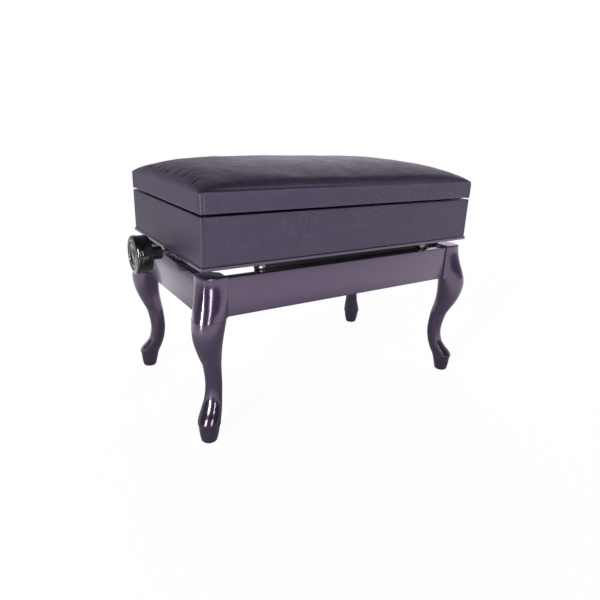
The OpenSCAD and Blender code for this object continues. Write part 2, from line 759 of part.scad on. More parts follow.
leg_front_left();
leg_front_right();
leg_rear_left();
leg_rear_right();
apron_front();
apron_rear();
apron_left();
apron_right();
corner_blocks();
leg_bolts();
leg_nuts();
foot_glides();
rail_low_front();
rail_low_rear();
rail_low_screws();
base_board();
box_front();
box_rear();
box_left();
box_right();
box_cover();
box_liner();
rail_up_front();
rail_up_rear();
rail_up_screws();
screw_bearings();
stay_track_left();
stay_track_right();
hinge_lower();
hinge_pin();
hinge_lower_screws();
lid_board();
lid_rail_front();
lid_rail_rear();
lid_rail_left();
lid_rail_right();
foam_pad();
cushion();
lid_cover();
dust_cloth();
hinge_upper();
hinge_upper_screws();
stay_bracket_left();
stay_bracket_right();
arm_a_front();
arm_a_rear();
pins_a();
arm_b_front();
arm_b_rear();
pins_b();
drive_bar();
lead_screw();
screw_collars();
knob_left();
knob_right();
stay_arm_left();
stay_arm_right();
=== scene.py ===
"""An adjustable piano bench: black vinyl seat box and lid on a lacquered base with cabriole legs."""
import math
import random

import bmesh
import bpy
from mathutils import Matrix, Vector, noise


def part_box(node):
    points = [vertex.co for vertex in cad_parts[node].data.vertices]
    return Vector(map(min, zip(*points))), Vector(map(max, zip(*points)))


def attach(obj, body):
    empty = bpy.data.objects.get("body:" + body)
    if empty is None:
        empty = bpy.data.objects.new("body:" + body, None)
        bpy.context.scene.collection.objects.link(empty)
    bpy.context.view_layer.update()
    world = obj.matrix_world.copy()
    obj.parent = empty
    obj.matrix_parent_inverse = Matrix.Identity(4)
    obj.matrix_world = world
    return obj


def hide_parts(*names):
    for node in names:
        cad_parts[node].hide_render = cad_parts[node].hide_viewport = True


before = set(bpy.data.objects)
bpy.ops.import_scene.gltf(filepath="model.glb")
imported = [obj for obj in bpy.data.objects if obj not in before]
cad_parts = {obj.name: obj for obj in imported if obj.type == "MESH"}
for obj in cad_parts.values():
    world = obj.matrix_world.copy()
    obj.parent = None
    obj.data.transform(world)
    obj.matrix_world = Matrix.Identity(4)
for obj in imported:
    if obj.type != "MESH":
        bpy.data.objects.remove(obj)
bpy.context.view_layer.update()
MM = 0.001

# ---------------------------------------------------------------- camera
# The bench is seen from its front left corner, from a little above the seat.


def link(thing):
    """Puts an object in the scene."""
    bpy.context.scene.collection.objects.link(thing)


view_turn, view_tilt, view_roll = math.radians(-33.26), math.radians(19.04), math.radians(2.06)
eye = Vector((-634.0, -969.1, 574.8)) * MM
back = Vector((
    math.sin(view_turn) * math.cos(view_tilt),
    -math.cos(view_turn) * math.cos(view_tilt),
    math.sin(view_tilt),
))
right = (-back).cross(Vector((0, 0, 1))).normalized()
up = right.cross(-back)
rolled_right = right * math.cos(view_roll) + up * math.sin(view_roll)
rolled_up = up * math.cos(view_roll) - right * math.sin(view_roll)
camera = bpy.data.objects.new("camera", bpy.data.cameras.new("camera"))
camera.data.sensor_width = 36
camera.data.lens = 30.46
camera.data.clip_start = 0.01
camera.matrix_world = Matrix((
    (rolled_right.x, rolled_up.x, back.x, eye.x),
    (rolled_right.y, rolled_up.y, back.y, eye.y),
    (rolled_right.z, rolled_up.z, back.z, eye.z),
    (0, 0, 0, 1),
))
link(camera)
bpy.context.scene.camera = camera
bpy.context.scene.view_settings.view_transform = "Standard"

# ---------------------------------------------------------------- cabriole legs
# Carved hardwood legs: a square block at the top, a full knee, a slim ankle and a pad foot with a
# sharp cuff. They are sprayed with black lacquer and rubbed to a gloss.


def wire(tree, source, target):
    """Joins an output socket to an input socket."""
    tree.links.new(source, target)


def start_finish(name, colour, roughness, **sockets):
    """A material with its shader, and values set on the shader's own sockets."""
    mat = bpy.data.materials.new(name)
    mat.use_nodes = True
    tree = mat.node_tree
    shader = tree.nodes["Principled BSDF"]
    shader.inputs["Base Color"].default_value = (*colour, 1)
    shader.inputs["Roughness"].default_value = roughness
    for key, value in sockets.items():
        shader.inputs[key.replace("_", " ").title().replace("Ior", "IOR")].default_value = value
    return mat, tree, shader


def start_group(name, inputs, outputs):
    """An empty shader node group with float inputs (name, default) and float outputs."""
    group = bpy.data.node_groups.new(name, "ShaderNodeTree")
    for label, default in inputs:
        group.interface.new_socket(label, in_out="INPUT", socket_type="NodeSocketFloat").default_value = default
    for label in outputs:
        group.interface.new_socket(label, in_out="OUTPUT", socket_type="NodeSocketFloat")
    return group, group.nodes.new("NodeGroupInput").outputs, group.nodes.new("NodeGroupOutput").inputs


def place_group(tree, group, **values):
    """Puts a node group in a material with its own values; returns its outputs."""
    node = tree.nodes.new("ShaderNodeGroup")
    node.node_tree = group
    for key, value in values.items():
        node.inputs[key.replace("_", " ").capitalize()].default_value = value
    return node.outputs


def maths(tree, operation, a, b=0.0, clamp=False):
    """A Math node whose inputs are sockets or numbers; returns its output."""
    node = tree.nodes.new("ShaderNodeMath")
    node.operation = operation
    node.use_clamp = clamp
    for socket, value in zip(node.inputs, (a, b)):
        if isinstance(value, (int, float)):
            socket.default_value = value
        else:
            wire(tree, value, socket)
    return node.outputs[0]


def between(tree, value, low, high, to_low=0.0, to_high=1.0):
    """Maps a value from one range to another, smoothly and clamped."""
    node = tree.nodes.new("ShaderNodeMapRange")
    node.interpolation_type = "SMOOTHSTEP"
    wire(tree, value, node.inputs["Value"])
    for label, number in (("From Min", low), ("From Max", high), ("To Min", to_low), ("To Max", to_high)):
        if isinstance(number, (int, float)):
            node.inputs[label].default_value = number
        else:
            wire(tree, number, node.inputs[label])
    return node.outputs["Result"]


def object_place(tree, stretch=None):
    """Object coordinates, stretched if asked."""
    vector = tree.nodes.new("ShaderNodeTexCoord").outputs["Object"]
    if stretch:
        mapping = tree.nodes.new("ShaderNodeMapping")
        mapping.inputs["Scale"].default_value = stretch
        wire(tree, vector, mapping.inputs["Vector"])
        vector = mapping.outputs["Vector"]
    return vector


def cloudy(tree, scale, detail=3, roughness=0.5, stretch=None):
    """A noise texture in object space; returns its grey output."""
    tex = tree.nodes.new("ShaderNodeTexNoise")
    tex.inputs["Detail"].default_value = detail
    tex.inputs["Roughness"].default_value = roughness
    if isinstance(scale, (int, float)):
        tex.inputs["Scale"].default_value = scale
    else:
        wire(tree, scale, tex.inputs["Scale"])
    wire(tree, object_place(tree, stretch), tex.inputs["Vector"])
    return tex.outputs["Fac"]


def blend_colours(tree, factor, dark, light):
    """A colour between two tones; either tone may be a socket."""
    mix = tree.nodes.new("ShaderNodeMix")
    mix.data_type = "RGBA"
    wire(tree, factor, mix.inputs["Factor"])
    for label, tone in (("A", dark), ("B", light)):
        if isinstance(tone, tuple):
            mix.inputs[label].default_value = (*tone, 1)
        else:
            wire(tree, tone, mix.inputs[label])
    return mix.outputs["Result"]


def raise_surface(tree, shader, height, strength, distance, under=None, invert=False):
    """A Bump node from a height; an earlier bump may lie under it. Returns its normal."""
    bump = tree.nodes.new("ShaderNodeBump")
    bump.inputs["Strength"].default_value = strength
    bump.inputs["Distance"].default_value = distance
    bump.invert = invert
    wire(tree, height, bump.inputs["Height"])
    if under is not None:
        wire(tree, under, bump.inputs["Normal"])
    wire(tree, bump.outputs["Normal"], shader.inputs["Normal"])
    return bump.outputs["Normal"]


def hand_rub_group():
    """Rubbed and handled surface: a broad change of tone, a change of roughness, and a fine height."""
    group, given, out = start_group(
        "hand_rub", [("Broad", 9.0), ("Fine", 900.0), ("Haze", 0.05)], ["Tone", "Haze", "Height"])
    broad = cloudy(group, given["Broad"], 4, 0.6)
    fine = cloudy(group, given["Fine"], 2, 0.5)
    wire(group, broad, out["Tone"])
    wire(group, maths(group, "MULTIPLY", maths(group, "SUBTRACT", broad, 0.5), given["Haze"]), out["Haze"])
    wire(group, maths(group, "ADD", maths(group, "MULTIPLY", fine, 0.35), broad), out["Height"])
    return group


def scuff_group():
    """Sparse fine scratches along one direction and a scatter of dust; the mask is 1 in a scratch."""
    group, given, out = start_group("scuffs", [("Amount", 0.5), ("Size", 60.0)], ["Mask", "Dust"])
    long_marks = cloudy(group, given["Size"], 3, 0.7, stretch=(1, 9, 9))
    level = maths(group, "SUBTRACT", 0.74, maths(group, "MULTIPLY", given["Amount"], 0.1))
    wire(group, between(group, long_marks, level, maths(group, "ADD", level, 0.06)), out["Mask"])
    wire(group, between(group, cloudy(group, 1400, 1, 0.5), 0.66, 0.74), out["Dust"])
    return group


hand_rub, scuffs = hand_rub_group(), scuff_group()


def worn_finish(name, dark, light, roughness, rub, scuff, bump, scratch=None, scratched=1.0, dulled=("Mask", 0.0),
                pressed=False, bared=0.0, **sockets):
    """A rubbed and scuffed finish between two tones. rub is the hand rub's broad, fine and haze, and scuff the
    scuffs' amount and size. Scratches have their own colour, dull the gloss, and may press in or bare the metal."""
    mat, tree, shader = start_finish(name, light, roughness, **sockets)
    rubbed = place_group(tree, hand_rub, **dict(zip(("broad", "fine", "haze"), rub)))
    marks = place_group(tree, scuffs, **dict(zip(("amount", "size"), scuff)))
    tone = blend_colours(tree, rubbed["Tone"], dark, light)
    if scratch:
        tone = blend_colours(tree, maths(tree, "MULTIPLY", marks["Mask"], scratched), tone, scratch)
    wire(tree, tone, shader.inputs["Base Color"])
    rough = maths(tree, "ADD", rubbed["Haze"], maths(tree, "MULTIPLY", marks[dulled[0]], dulled[1]))
    wire(tree, maths(tree, "ADD", rough, roughness), shader.inputs["Roughness"])
    if bared:
        wire(tree, maths(tree, "MULTIPLY", marks["Mask"], bared), shader.inputs["Metallic"])
    raise_surface(tree, shader, marks["Mask"] if pressed else rubbed["Height"], *bump, invert=pressed)
    return mat


# Almost a mirror at a low angle, with a faint plum tone face on.
lacquer = worn_finish(
    "black_lacquer", (0.066, 0.046, 0.100), (0.096, 0.066, 0.138), 0.19, (14, 500, 0.12), (0.3, 40), (0.1, 0.0003),
    (0.12, 0.11, 0.13), 0.25, ("Mask", 0.15), coat_weight=0.25, coat_roughness=0.06, specular_ior_level=0.95,
    specular_tint=(0.95, 0.72, 1.0, 1))


def new_piece(name, mesh, material, body, slot, *replaced):
    """Links a finished mesh as a piece that rides on a body and stands for CAD nodes."""
    piece = bpy.data.objects.new(name, mesh)
    link(piece)
    if material is not None:
        mesh.materials.clear()
        mesh.materials.append(material)
    if replaced:
        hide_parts(*replaced)
    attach(piece, body)
    return piece


def shade(mesh, angle=40):
    """Smooth faces, split where they meet at more than the angle."""
    for face in mesh.polygons:
        face.use_smooth = True
    mesh.set_sharp_from_angle(angle=math.radians(angle))


def mesh_from(bm, name, angle=40):
    """Closes doubles, turns the faces outwards and makes the mesh."""
    bmesh.ops.remove_doubles(bm, verts=bm.verts, dist=1e-6)
    bmesh.ops.recalc_face_normals(bm, faces=bm.faces)
    mesh = bpy.data.meshes.new(name)
    bm.to_mesh(mesh)
    bm.free()
    shade(mesh, angle)
    return mesh


def join_rings(bm, low, high):
    """Faces between two closed rings of vertices."""
    for i, corner in enumerate(low):
        bm.faces.new((low[i - 1], corner, high[i], high[i - 1]))


def add_rings(bm, rings, capped=True):
    """A skin over a list of rings of equal count."""
    rows = [[bm.verts.new(p) for p in ring] for ring in rings]
    for low, high in zip(rows, rows[1:]):
        join_rings(bm, low, high)
    if capped:
        bm.faces.new(rows[0])
        bm.faces.new(rows[-1])


def spline(a, b, c, d, f):
    """Catmull-Rom between b and c."""
    return [
        q + f * (r - p) / 2 + f * f * (p - 2.5 * q + 2 * r - 0.5 * s) + f ** 3 * (1.5 * (q - r) + (s - p) / 2)
        for p, q, r, s in zip(a, b, c, d)
    ]


def smooth_stations(stations, steps):
    last = len(stations) - 1
    out = []
    for i in range(last):
        four = [stations[max(i - 1, 0)], stations[i], stations[i + 1], stations[min(i + 2, last)]]
        out += [spline(*four, j / steps) for j in range(steps)]
    return out + [list(stations[-1])]


leg_low, leg_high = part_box("leg_front_right")
apron_low, apron_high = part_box("apron_front")
leg_block = 45 * MM
block_mid = Vector((apron_high.x + leg_block / 2, leg_block / 2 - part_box("apron_left")[0].y))
# Height (of a curve 242.5 high), outer, widest and inner place on the diagonal, half width, roundness
curve_high = 242.5
leg_profile = [
    (0, 39.5, 24.5, 9.5, 15, 2), (12, 41.5, 24.5, 6.5, 18, 1.95), (30, 43, 22.8, 2, 20.6, 1.9),
    (32.5, 44.4, 22.8, 1, 21.9, 1.85), (34, 44.7, 22.8, 0.4, 22.1, 1.85), (36, 44.7, 22.6, -0.2, 22.2, 1.85),
    (40, 44, 22, -1.8, 22, 1.8), (48, 38.5, 17, -6, 21.2, 1.85), (60, 28, 9, -11, 19.6, 1.9),
    (78, 17.3, 0.2, -16.4, 17, 2), (106, 13, -3.8, -19.8, 16, 2), (143, 20, 2.2, -16.8, 17, 2),
    (163, 30, 9, -12.8, 20.2, 2), (182, 40.5, 13.8, -9.4, 23.2, 2), (203, 48.3, 16.5, -8, 26.8, 2),
    (224, 52, 12, -9, 29.3, 2), (curve_high, 49.5, 6, -10.9, 31, 1.95),
]
# Share of the block's height, outer place on the diagonal, roundness
knee_profile = [(0, 49.5, 1.95), (0.2, 44, 1.9), (0.4, 38, 1.7), (0.6, 33, 1.5), (0.8, 29.5, 1.34), (1, 28, 1.26)]
half_diagonal = leg_block / MM / math.sqrt(2)
corner_cut = -0.68 * half_diagonal


def leg_ring(height, centre, outer, inner, half, p_out, p_in, shrink=0.0, count=112):
    points = []
    for i in range(count):
        a = math.tau * i / count
        c, s = math.cos(a), math.sin(a)
        power = 2 / (p_out if c >= 0 else p_in)
        along = centre + ((outer if c >= 0 else inner) - shrink) * math.copysign(abs(c) ** power, c)
        across = (half - shrink) * math.copysign(abs(s) ** power, s)
        points.append((max(along, corner_cut + shrink), across, height))
    return points


def leg_mesh(side_x, side_y):
    foot_z, knee_z, top_z = leg_low.z / MM, apron_low.z / MM, leg_high.z / MM
    rings = [
        leg_ring(foot_z + r[0] * (knee_z - foot_z) / curve_high, r[2], r[1] - r[2], r[2] - r[3], r[4], r[5], r[5])
        for r in smooth_stations(leg_profile, 8)
    ]
    edge = ((1.6, 0.25), (0.7, 0.9), (0.1, 2.0), (0, 3.2))
    for r in smooth_stations(knee_profile, 8):
        height = min(knee_z + r[0] * (top_z - knee_z), top_z - edge[0][0] - 0.6)
        rings.append(leg_ring(height, 0, r[1], half_diagonal, half_diagonal, r[2], 1))
    for drop, shrink in edge:
        rings.append(leg_ring(top_z - drop, 0, knee_profile[-1][1], half_diagonal, half_diagonal,
                              knee_profile[-1][2], 1, shrink))
    bm = bmesh.new()
    add_rings(bm, [
        [(side_x * (block_mid.x + (s - t) / math.sqrt(2) * MM), side_y * (block_mid.y + (s + t) / math.sqrt(2) * MM),
          z * MM) for s, t, z in ring]
        for ring in rings
    ])
    return mesh_from(bm, "leg", 38)


corners = {"front_left": (-1, -1), "front_right": (1, -1), "rear_left": (-1, 1), "rear_right": (1, 1)}
for place, (side_x, side_y) in corners.items():
    new_piece(f"cabriole_leg_{place}", leg_mesh(side_x, side_y), lacquer, "base", "lacquer", f"leg_{place}")

# ---------------------------------------------------------------- foot glides
# Black nylon discs nailed under the feet.


def dress(material, *nodes):
    """Gives CAD nodes whose shape is right their finish."""
    for node in nodes:
        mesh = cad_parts[node].data
        mesh.materials.clear()
        mesh.materials.append(material)


dress(worn_finish("glide_nylon", (0.014, 0.014, 0.016), (0.035, 0.034, 0.036), 0.5, (60, 900, 0.3), (0.9, 90),
                  (0.3, 0.0002), (0.1, 0.1, 0.1), pressed=True), "foot_glides")

# ---------------------------------------------------------------- aprons
# Four boards that join the leg blocks, with eased edges, lacquered like the legs.


def eased_copy(node, width, segments=3):
    """A CAD node's shape as clean faces with its edges eased; returns a new mesh."""
    bm = bmesh.new()
    bm.from_mesh(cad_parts[node].data)
    bmesh.ops.remove_doubles(bm, verts=bm.verts, dist=1e-6)
    bmesh.ops.dissolve_limit(bm, angle_limit=math.radians(1), verts=bm.verts, edges=bm.edges)
    sharp = [e for e in bm.edges if len(e.link_faces) == 2 and e.calc_face_angle(0) > math.radians(30)]
    bmesh.ops.bevel(bm, geom=sharp, offset=width, segments=segments, profile=0.5, affect="EDGES", clamp_overlap=True)
    return mesh_from(bm, node, 35)


def eased_piece(name, node, width, material, body, slot):
    return new_piece(name, eased_copy(node, width), material, body, slot, node)


for side in ("front", "rear", "left", "right"):
    eased_piece(f"apron_board_{side}", f"apron_{side}", 1.2 * MM, lacquer, "base", "lacquer")

# ---------------------------------------------------------------- corner blocks and leg bolts
# Beech blocks glued across the corners behind the aprons. A zinc-plated hanger bolt runs from each
# leg through its block, with a flanged nut.


def grain_group():
    """Straight wood grain: the tone of the rings, and a height with open pores."""
    group, given, out = start_group("wood_grain", [("Rings", 60.0), ("Pores", 700.0)], ["Tone", "Height"])
    bend = maths(group, "MULTIPLY", cloudy(group, 6, 2, 0.5), 6.0)
    split = group.nodes.new("ShaderNodeSeparateXYZ")
    wire(group, object_place(group), split.inputs[0])
    across = maths(group, "ADD", split.outputs["Z"], maths(group, "MULTIPLY", split.outputs["Y"], 0.45))
    wave = maths(group, "SINE", maths(group, "ADD", maths(group, "MULTIPLY", across, given["Rings"]), bend))
    ring = between(group, wave, -1.0, 1.0)
    pores = cloudy(group, given["Pores"], 2, 0.6, stretch=(0.06, 1, 1))
    wire(group, maths(group, "ADD", maths(group, "MULTIPLY", ring, 0.6), maths(group, "MULTIPLY", pores, 0.4)),
         out["Tone"])
    wire(group, pores, out["Height"])
    return group


wood_grain = grain_group()


def bare_wood(name, dark, light, rings, pores, rub, soil, soiled, roughness, bump):
    """Wood with its grain between two tones, and handled places that are darker and duller."""
    mat, tree, shader = start_finish(name, light, roughness)
    grain = place_group(tree, wood_grain, rings=rings, pores=pores)
    rubbed = place_group(tree, hand_rub, **dict(zip(("broad", "fine", "haze"), rub)))
    tone = blend_colours(tree, grain["Tone"], dark, light)
    wire(tree, blend_colours(tree, maths(tree, "MULTIPLY", rubbed["Tone"], soiled), tone, soil),
         shader.inputs["Base Color"])
    wire(tree, maths(tree, "ADD", rubbed["Haze"], roughness), shader.inputs["Roughness"])
    raise_surface(tree, shader, grain["Height"], bump, 0.0003)
    return mat


def plated_steel(name, dark, light, roughness):
    """Plated metal with a fine mottle, drawn marks and a little dust."""
    return worn_finish(name, dark, light, roughness, (90, 1600, 0.25), (0.8, 120), (0.15, 0.0001),
                       tuple(0.5 * c for c in dark), dulled=("Dust", 0.3), metallic=1.0)


beech = bare_wood("beech", (0.42, 0.26, 0.14), (0.62, 0.43, 0.26), 900, 900, (20, 600, 0.2),
                  (0.252, 0.156, 0.084), 0.35, 0.6, 0.25)
zinc = plated_steel("zinc_steel", (0.36, 0.37, 0.39), (0.62, 0.63, 0.66), 0.3)


def islands(node):
    """The box (lowest and highest corner) of each separate solid of a CAD node."""
    bm = bmesh.new()
    bm.from_mesh(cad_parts[node].data)
    bmesh.ops.remove_doubles(bm, verts=bm.verts, dist=1e-6)
    left, found = set(bm.verts), []
    while left:
        grown, edge = set(), [next(iter(left))]
        while edge:
            vert = edge.pop()
            if vert not in grown:
                grown.add(vert)
                edge += [e.other_vert(vert) for e in vert.link_edges]
        left -= grown
        found.append([Vector([pick(v.co[k] for v in grown) for k in range(3)]) for pick in (min, max)])
    bm.free()
    return sorted(found, key=lambda box: tuple(round(c, 5) for c in box[0]))


def start_nodes(name, sizes):
    """A Geometry Nodes tree with a geometry input, sizes as named inputs, and a geometry output."""
    tree = bpy.data.node_groups.new(name, "GeometryNodeTree")
    tree.interface.new_socket("Geometry", in_out="INPUT", socket_type="NodeSocketGeometry")
    for label, default in sizes.items():
        kind = "NodeSocketInt" if isinstance(default, int) else "NodeSocketFloat"
        tree.interface.new_socket(label, in_out="INPUT", socket_type=kind).default_value = default
    tree.interface.new_socket("Geometry", in_out="OUTPUT", socket_type="NodeSocketGeometry")
    return tree, tree.nodes.new("NodeGroupInput").outputs, tree.nodes.new("NodeGroupOutput").inputs


def add_node(tree, kind, links=None, **settings):
    """A node with its settings; links is a dict from input name or place to a socket or a value."""
    node = tree.nodes.new(kind)
    for key, value in settings.items():
        setattr(node, key, value)
    for key, value in (links or {}).items():
        if isinstance(value, bpy.types.NodeSocket):
            tree.links.new(value, node.inputs[key])
        else:
            node.inputs[key].default_value = value
    return node


def heading_rotation(tree):
    """A rotation that turns +Z to the host's heading attribute."""
    heading = add_node(tree, "GeometryNodeInputNamedAttribute", {"Name": "heading"}, data_type="FLOAT_VECTOR")
    return add_node(
        tree, "FunctionNodeAlignRotationToVector", {"Vector": heading.outputs["Attribute"]}, axis="Z").outputs[0]


def finish_nodes(tree, out, instances, material):
    """Ends a tree in Realize Instances and Set Material."""
    real = add_node(tree, "GeometryNodeRealizeInstances", {"Geometry": instances})
    done = add_node(tree, "GeometryNodeSetMaterial", {"Geometry": real.outputs[0], "Material": material})
    tree.links.new(done.outputs[0], out["Geometry"])


def plant(tree, given, out, shape, material, rotation=None):
    """Places the shape on each spot, turned to the spot's heading, and ends the tree."""
    placed = add_node(tree, "GeometryNodeInstanceOnPoints", {
        "Points": given["Geometry"], "Instance": shape.outputs[0],
        "Rotation": heading_rotation(tree) if rotation is None else rotation})
    finish_nodes(tree, out, placed.outputs[0], material)
    return tree


def grow_piece(name, tree, spots, sizes, body, slot, *replaced):
    """Runs a tree over spots (place, heading) and makes the result a piece with a plain mesh."""
    host_mesh = bpy.data.meshes.new(name + "_host")
    host_mesh.from_pydata([spot[0] for spot in spots], [], [])
    layer = host_mesh.attributes.new("heading", "FLOAT_VECTOR", "POINT")
    for i, spot in enumerate(spots):
        layer.data[i].vector = spot[1]
    host = bpy.data.objects.new(name + "_host", host_mesh)
    link(host)
    maker = host.modifiers.new("maker", "NODES")
    maker.node_group = tree
    for item in tree.interface.items_tree:
        if item.in_out == "INPUT" and item.name in sizes:
            maker[item.identifier] = sizes[item.name]
    evaluated = host.evaluated_get(bpy.context.evaluated_depsgraph_get())
    mesh = bpy.data.meshes.new_from_object(evaluated)
    mesh.name = name
    host.modifiers.remove(maker)
    bpy.data.objects.remove(host)
    shade(mesh, 35)
    return new_piece(name, mesh, None, body, slot, *replaced)


def thread_tree(material):
    """A V-thread on a rod: a spiral with a three-sided section, one for each spot."""
    tree, given, out = start_nodes("screw_thread", {"Length": 0.05, "Pitch": 0.0015, "Radius": 0.005, "Depth": 0.0006})
    coil = add_node(tree, "GeometryNodeCurveSpiral", {
        "Resolution": 20, "Rotations": maths(tree, "DIVIDE", given["Length"], given["Pitch"]),
        "Start Radius": given["Radius"], "End Radius": given["Radius"], "Height": given["Length"]})
    section = add_node(tree, "GeometryNodeCurvePrimitiveCircle", {"Resolution": 3, "Radius": given["Depth"]})
    swept = add_node(tree, "GeometryNodeCurveToMesh", {
        "Curve": coil.outputs[0], "Profile Curve": section.outputs[0], "Fill Caps": True})
    return plant(tree, given, out, swept, material)


thread = thread_tree(zinc)
eased_piece("corner_block_set", "corner_blocks", 1.0 * MM, beech, "base", "inner_wood")
dress(zinc, "leg_bolts", "leg_nuts")
bolt_spots = []
for low, high in islands("leg_bolts"):
    mid = (low + high) / 2
    outward_way = Vector((math.copysign(1, mid.x), math.copysign(1, mid.y), 0)).normalized()
    reach = (high.x - low.x) / math.sqrt(2) - 2 * MM
    bolt_spots.append((mid - outward_way * reach, outward_way))
bolt_thread = {"Length": 12 * MM, "Pitch": 1.25 * MM, "Radius": 4.0 * MM, "Depth": 0.45 * MM}
grow_piece("bolt_threads", thread, bolt_spots, bolt_thread, "base", "steel")

# ---------------------------------------------------------------- lower rails
# Pressed steel rails screwed inside the long aprons, enamelled black. Round holes at the left hold
# the fixed pins and slots at the right guide the sliding ones.


def cross_screw_tree(material):
    """A pan head with a cross recess at each spot, turned at random about its own axis."""
    tree, given, out = start_nodes("cross_head_screw", {"Radius": 0.004, "Height": 0.0015, "Seed": 3})
    head = add_node(tree, "GeometryNodeMeshCone", {
        "Vertices": 24, "Radius Top": maths(tree, "MULTIPLY", given["Radius"], 0.72),
        "Radius Bottom": given["Radius"], "Depth": given["Height"]})
    arm, slit = (maths(tree, "MULTIPLY", given["Radius"], share) for share in (1.05, 0.2))
    deep = maths(tree, "MULTIPLY", given["Height"], 1.2)
    lift_cut = add_node(tree, "ShaderNodeCombineXYZ", {"Z": given["Height"]})
    bars = []
    for sides in ((arm, slit), (slit, arm)):
        size = add_node(tree, "ShaderNodeCombineXYZ", {"X": sides[0], "Y": sides[1], "Z": deep})
        bar = add_node(tree, "GeometryNodeMeshCube", {"Size": size.outputs[0]})
        bars.append(add_node(tree, "GeometryNodeTransform", {
            "Geometry": bar.outputs[0], "Translation": lift_cut.outputs[0]}).outputs[0])
    cut = add_node(tree, "GeometryNodeMeshBoolean", {"Mesh 1": head.outputs[0]}, operation="DIFFERENCE")
    for bar in bars:
        tree.links.new(bar, cut.inputs["Mesh 2"])
    spin = add_node(tree, "FunctionNodeRandomValue", {"Max": math.tau, "Seed": given["Seed"]}, data_type="FLOAT")
    spin_axis = add_node(tree, "ShaderNodeCombineXYZ", {"Z": [s for s in spin.outputs if s.enabled][0]})
    turned = add_node(tree, "FunctionNodeRotateRotation", {
        "Rotation": heading_rotation(tree), "Rotate By": spin_axis.outputs[0]}, rotation_space="LOCAL")
    return plant(tree, given, out, cut, material, turned.outputs[0])


enamel = worn_finish(
    "black_enamel", (0.014, 0.014, 0.017), (0.034, 0.033, 0.037), 0.38, (30, 700, 0.3), (0.7, 60), (0.3, 0.0003),
    (0.3, 0.3, 0.31), 0.5, bared=0.6, coat_weight=0.2, coat_roughness=0.2)
black_zinc = plated_steel("black_zinc", (0.05, 0.05, 0.055), (0.12, 0.12, 0.13), 0.36)
cross_screw = cross_screw_tree(black_zinc)
for side in ("front", "rear"):
    eased_piece(f"lower_rail_{side}", f"rail_low_{side}", 0.35 * MM, enamel, "base", "black_steel")
screw_size = {"Radius": 4.0 * MM, "Height": 1.8 * MM}
spots = []
for low, high in islands("rail_low_screws"):
    mid = (low + high) / 2
    inward = -math.copysign(1, mid.y)
    face_y = min(abs(low.y), abs(high.y)) + 1.5 * MM
    spots.append(((mid.x, -inward * face_y, mid.z), (0, inward, 0)))
grow_piece("lower_rail_screw_set", cross_screw, spots, screw_size, "base", "steel", "rail_low_screws")

# ---------------------------------------------------------------- base board and box walls
# A painted board carries the seat; the four plywood walls are glued and nailed on it.
ply = bare_wood("birch_plywood", (0.62, 0.47, 0.31), (0.76, 0.61, 0.43), 150, 600, (18, 500, 0.15),
                (0.5, 0.34, 0.2), 0.3, 0.62, 0.2)
new_piece("base_board_painted", eased_copy("base_board", 1.6 * MM, 4), lacquer, "seat_box", "lacquer", "base_board")
for side in ("front", "rear", "left", "right"):
    eased_piece(f"box_wall_{side}", f"box_{side}", 0.4 * MM, ply, "seat_box", "inner_wood")

# ---------------------------------------------------------------- box vinyl
# Black vinyl glued round the walls and folded over their top edge. It overlaps in a fine upright
# fold just round each corner.


def seat_vinyl():
    """Expanded vinyl: a fine pebble grain, a slightly cloudy sheen and a plum tone face on."""
    mat, tree, shader = start_finish(
        "black_vinyl", (0.12, 0.09, 0.16), 0.42, specular_ior_level=0.3, specular_tint=(0.92, 0.8, 1.0, 1))
    rub = place_group(tree, hand_rub, broad=40, fine=900, haze=0.2)
    marks = place_group(tree, scuffs, amount=0.2, size=30)
    tone = blend_colours(tree, rub["Tone"], (0.134, 0.104, 0.180), (0.184, 0.140, 0.236))
    speck = between(tree, cloudy(tree, 620, 2, 0.6), 0.35, 0.68)
    tone = blend_colours(tree, speck, blend_colours(tree, rub["Tone"], (0.074, 0.058, 0.100), (0.104, 0.081, 0.138)),
                         tone)
    wire(tree, blend_colours(tree, maths(tree, "MULTIPLY", marks["Dust"], 0.2), tone, (0.22, 0.2, 0.25)),
         shader.inputs["Base Color"])
    wire(tree, maths(tree, "ADD", rub["Haze"], 0.4), shader.inputs["Roughness"])
    pebble = add_node(tree, "ShaderNodeTexVoronoi", {
        "Scale": 480, "Smoothness": 0.6, "Vector": object_place(tree)}, feature="SMOOTH_F1")
    under = raise_surface(tree, shader, rub["Height"], 0.12, 0.0005)
    raise_surface(tree, shader, pebble.outputs["Distance"], 0.5, 0.0006, under, invert=True)
    return mat


vinyl = seat_vinyl()
box_low, box_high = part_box("box_cover")
wall_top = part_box("box_front")[1].z
inner_x, inner_y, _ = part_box("box_liner")[1]
half_x, half_y = box_high.x, box_high.y
fold_place, fold_deep = 5.0 * MM, 0.7 * MM


def outline(x, y, radius, step=12 * MM):
    """Points (place, way out, nick) round a rectangle with rounded corners. The nick is 1 in the
    fine fold near each end of the front and back."""
    points = []
    for turn in range(4):
        spin = Matrix.Rotation(math.pi / 2 * turn, 2)
        long, short = (x, y) if turn % 2 == 0 else (y, x)
        count = round(2 * (long - radius) / step)
        side = [((2 * i / count - 1) * (long - radius), 0) for i in range(count + 1)]
        if turn % 2 == 0:
            for centre in (fold_place - long, long - fold_place):
                side = [p for p in side if abs(p[0] - centre) > 1.2 * MM]
                side += [(centre + d * MM, nick) for d, nick in ((-0.7, 0), (-0.25, 1), (0.25, 1), (0.7, 0))]
            side.sort()
        points += [(spin @ Vector((a, -short)), spin @ Vector((0, -1)), nick) for a, nick in side]
        for angle in (15, 30, 45, 60, 75):
            way = Vector((math.sin(math.radians(angle)), -math.cos(math.radians(angle))))
            points.append((spin @ (Vector((long - radius, radius - short)) + way * radius), spin @ way, 0))
    return points


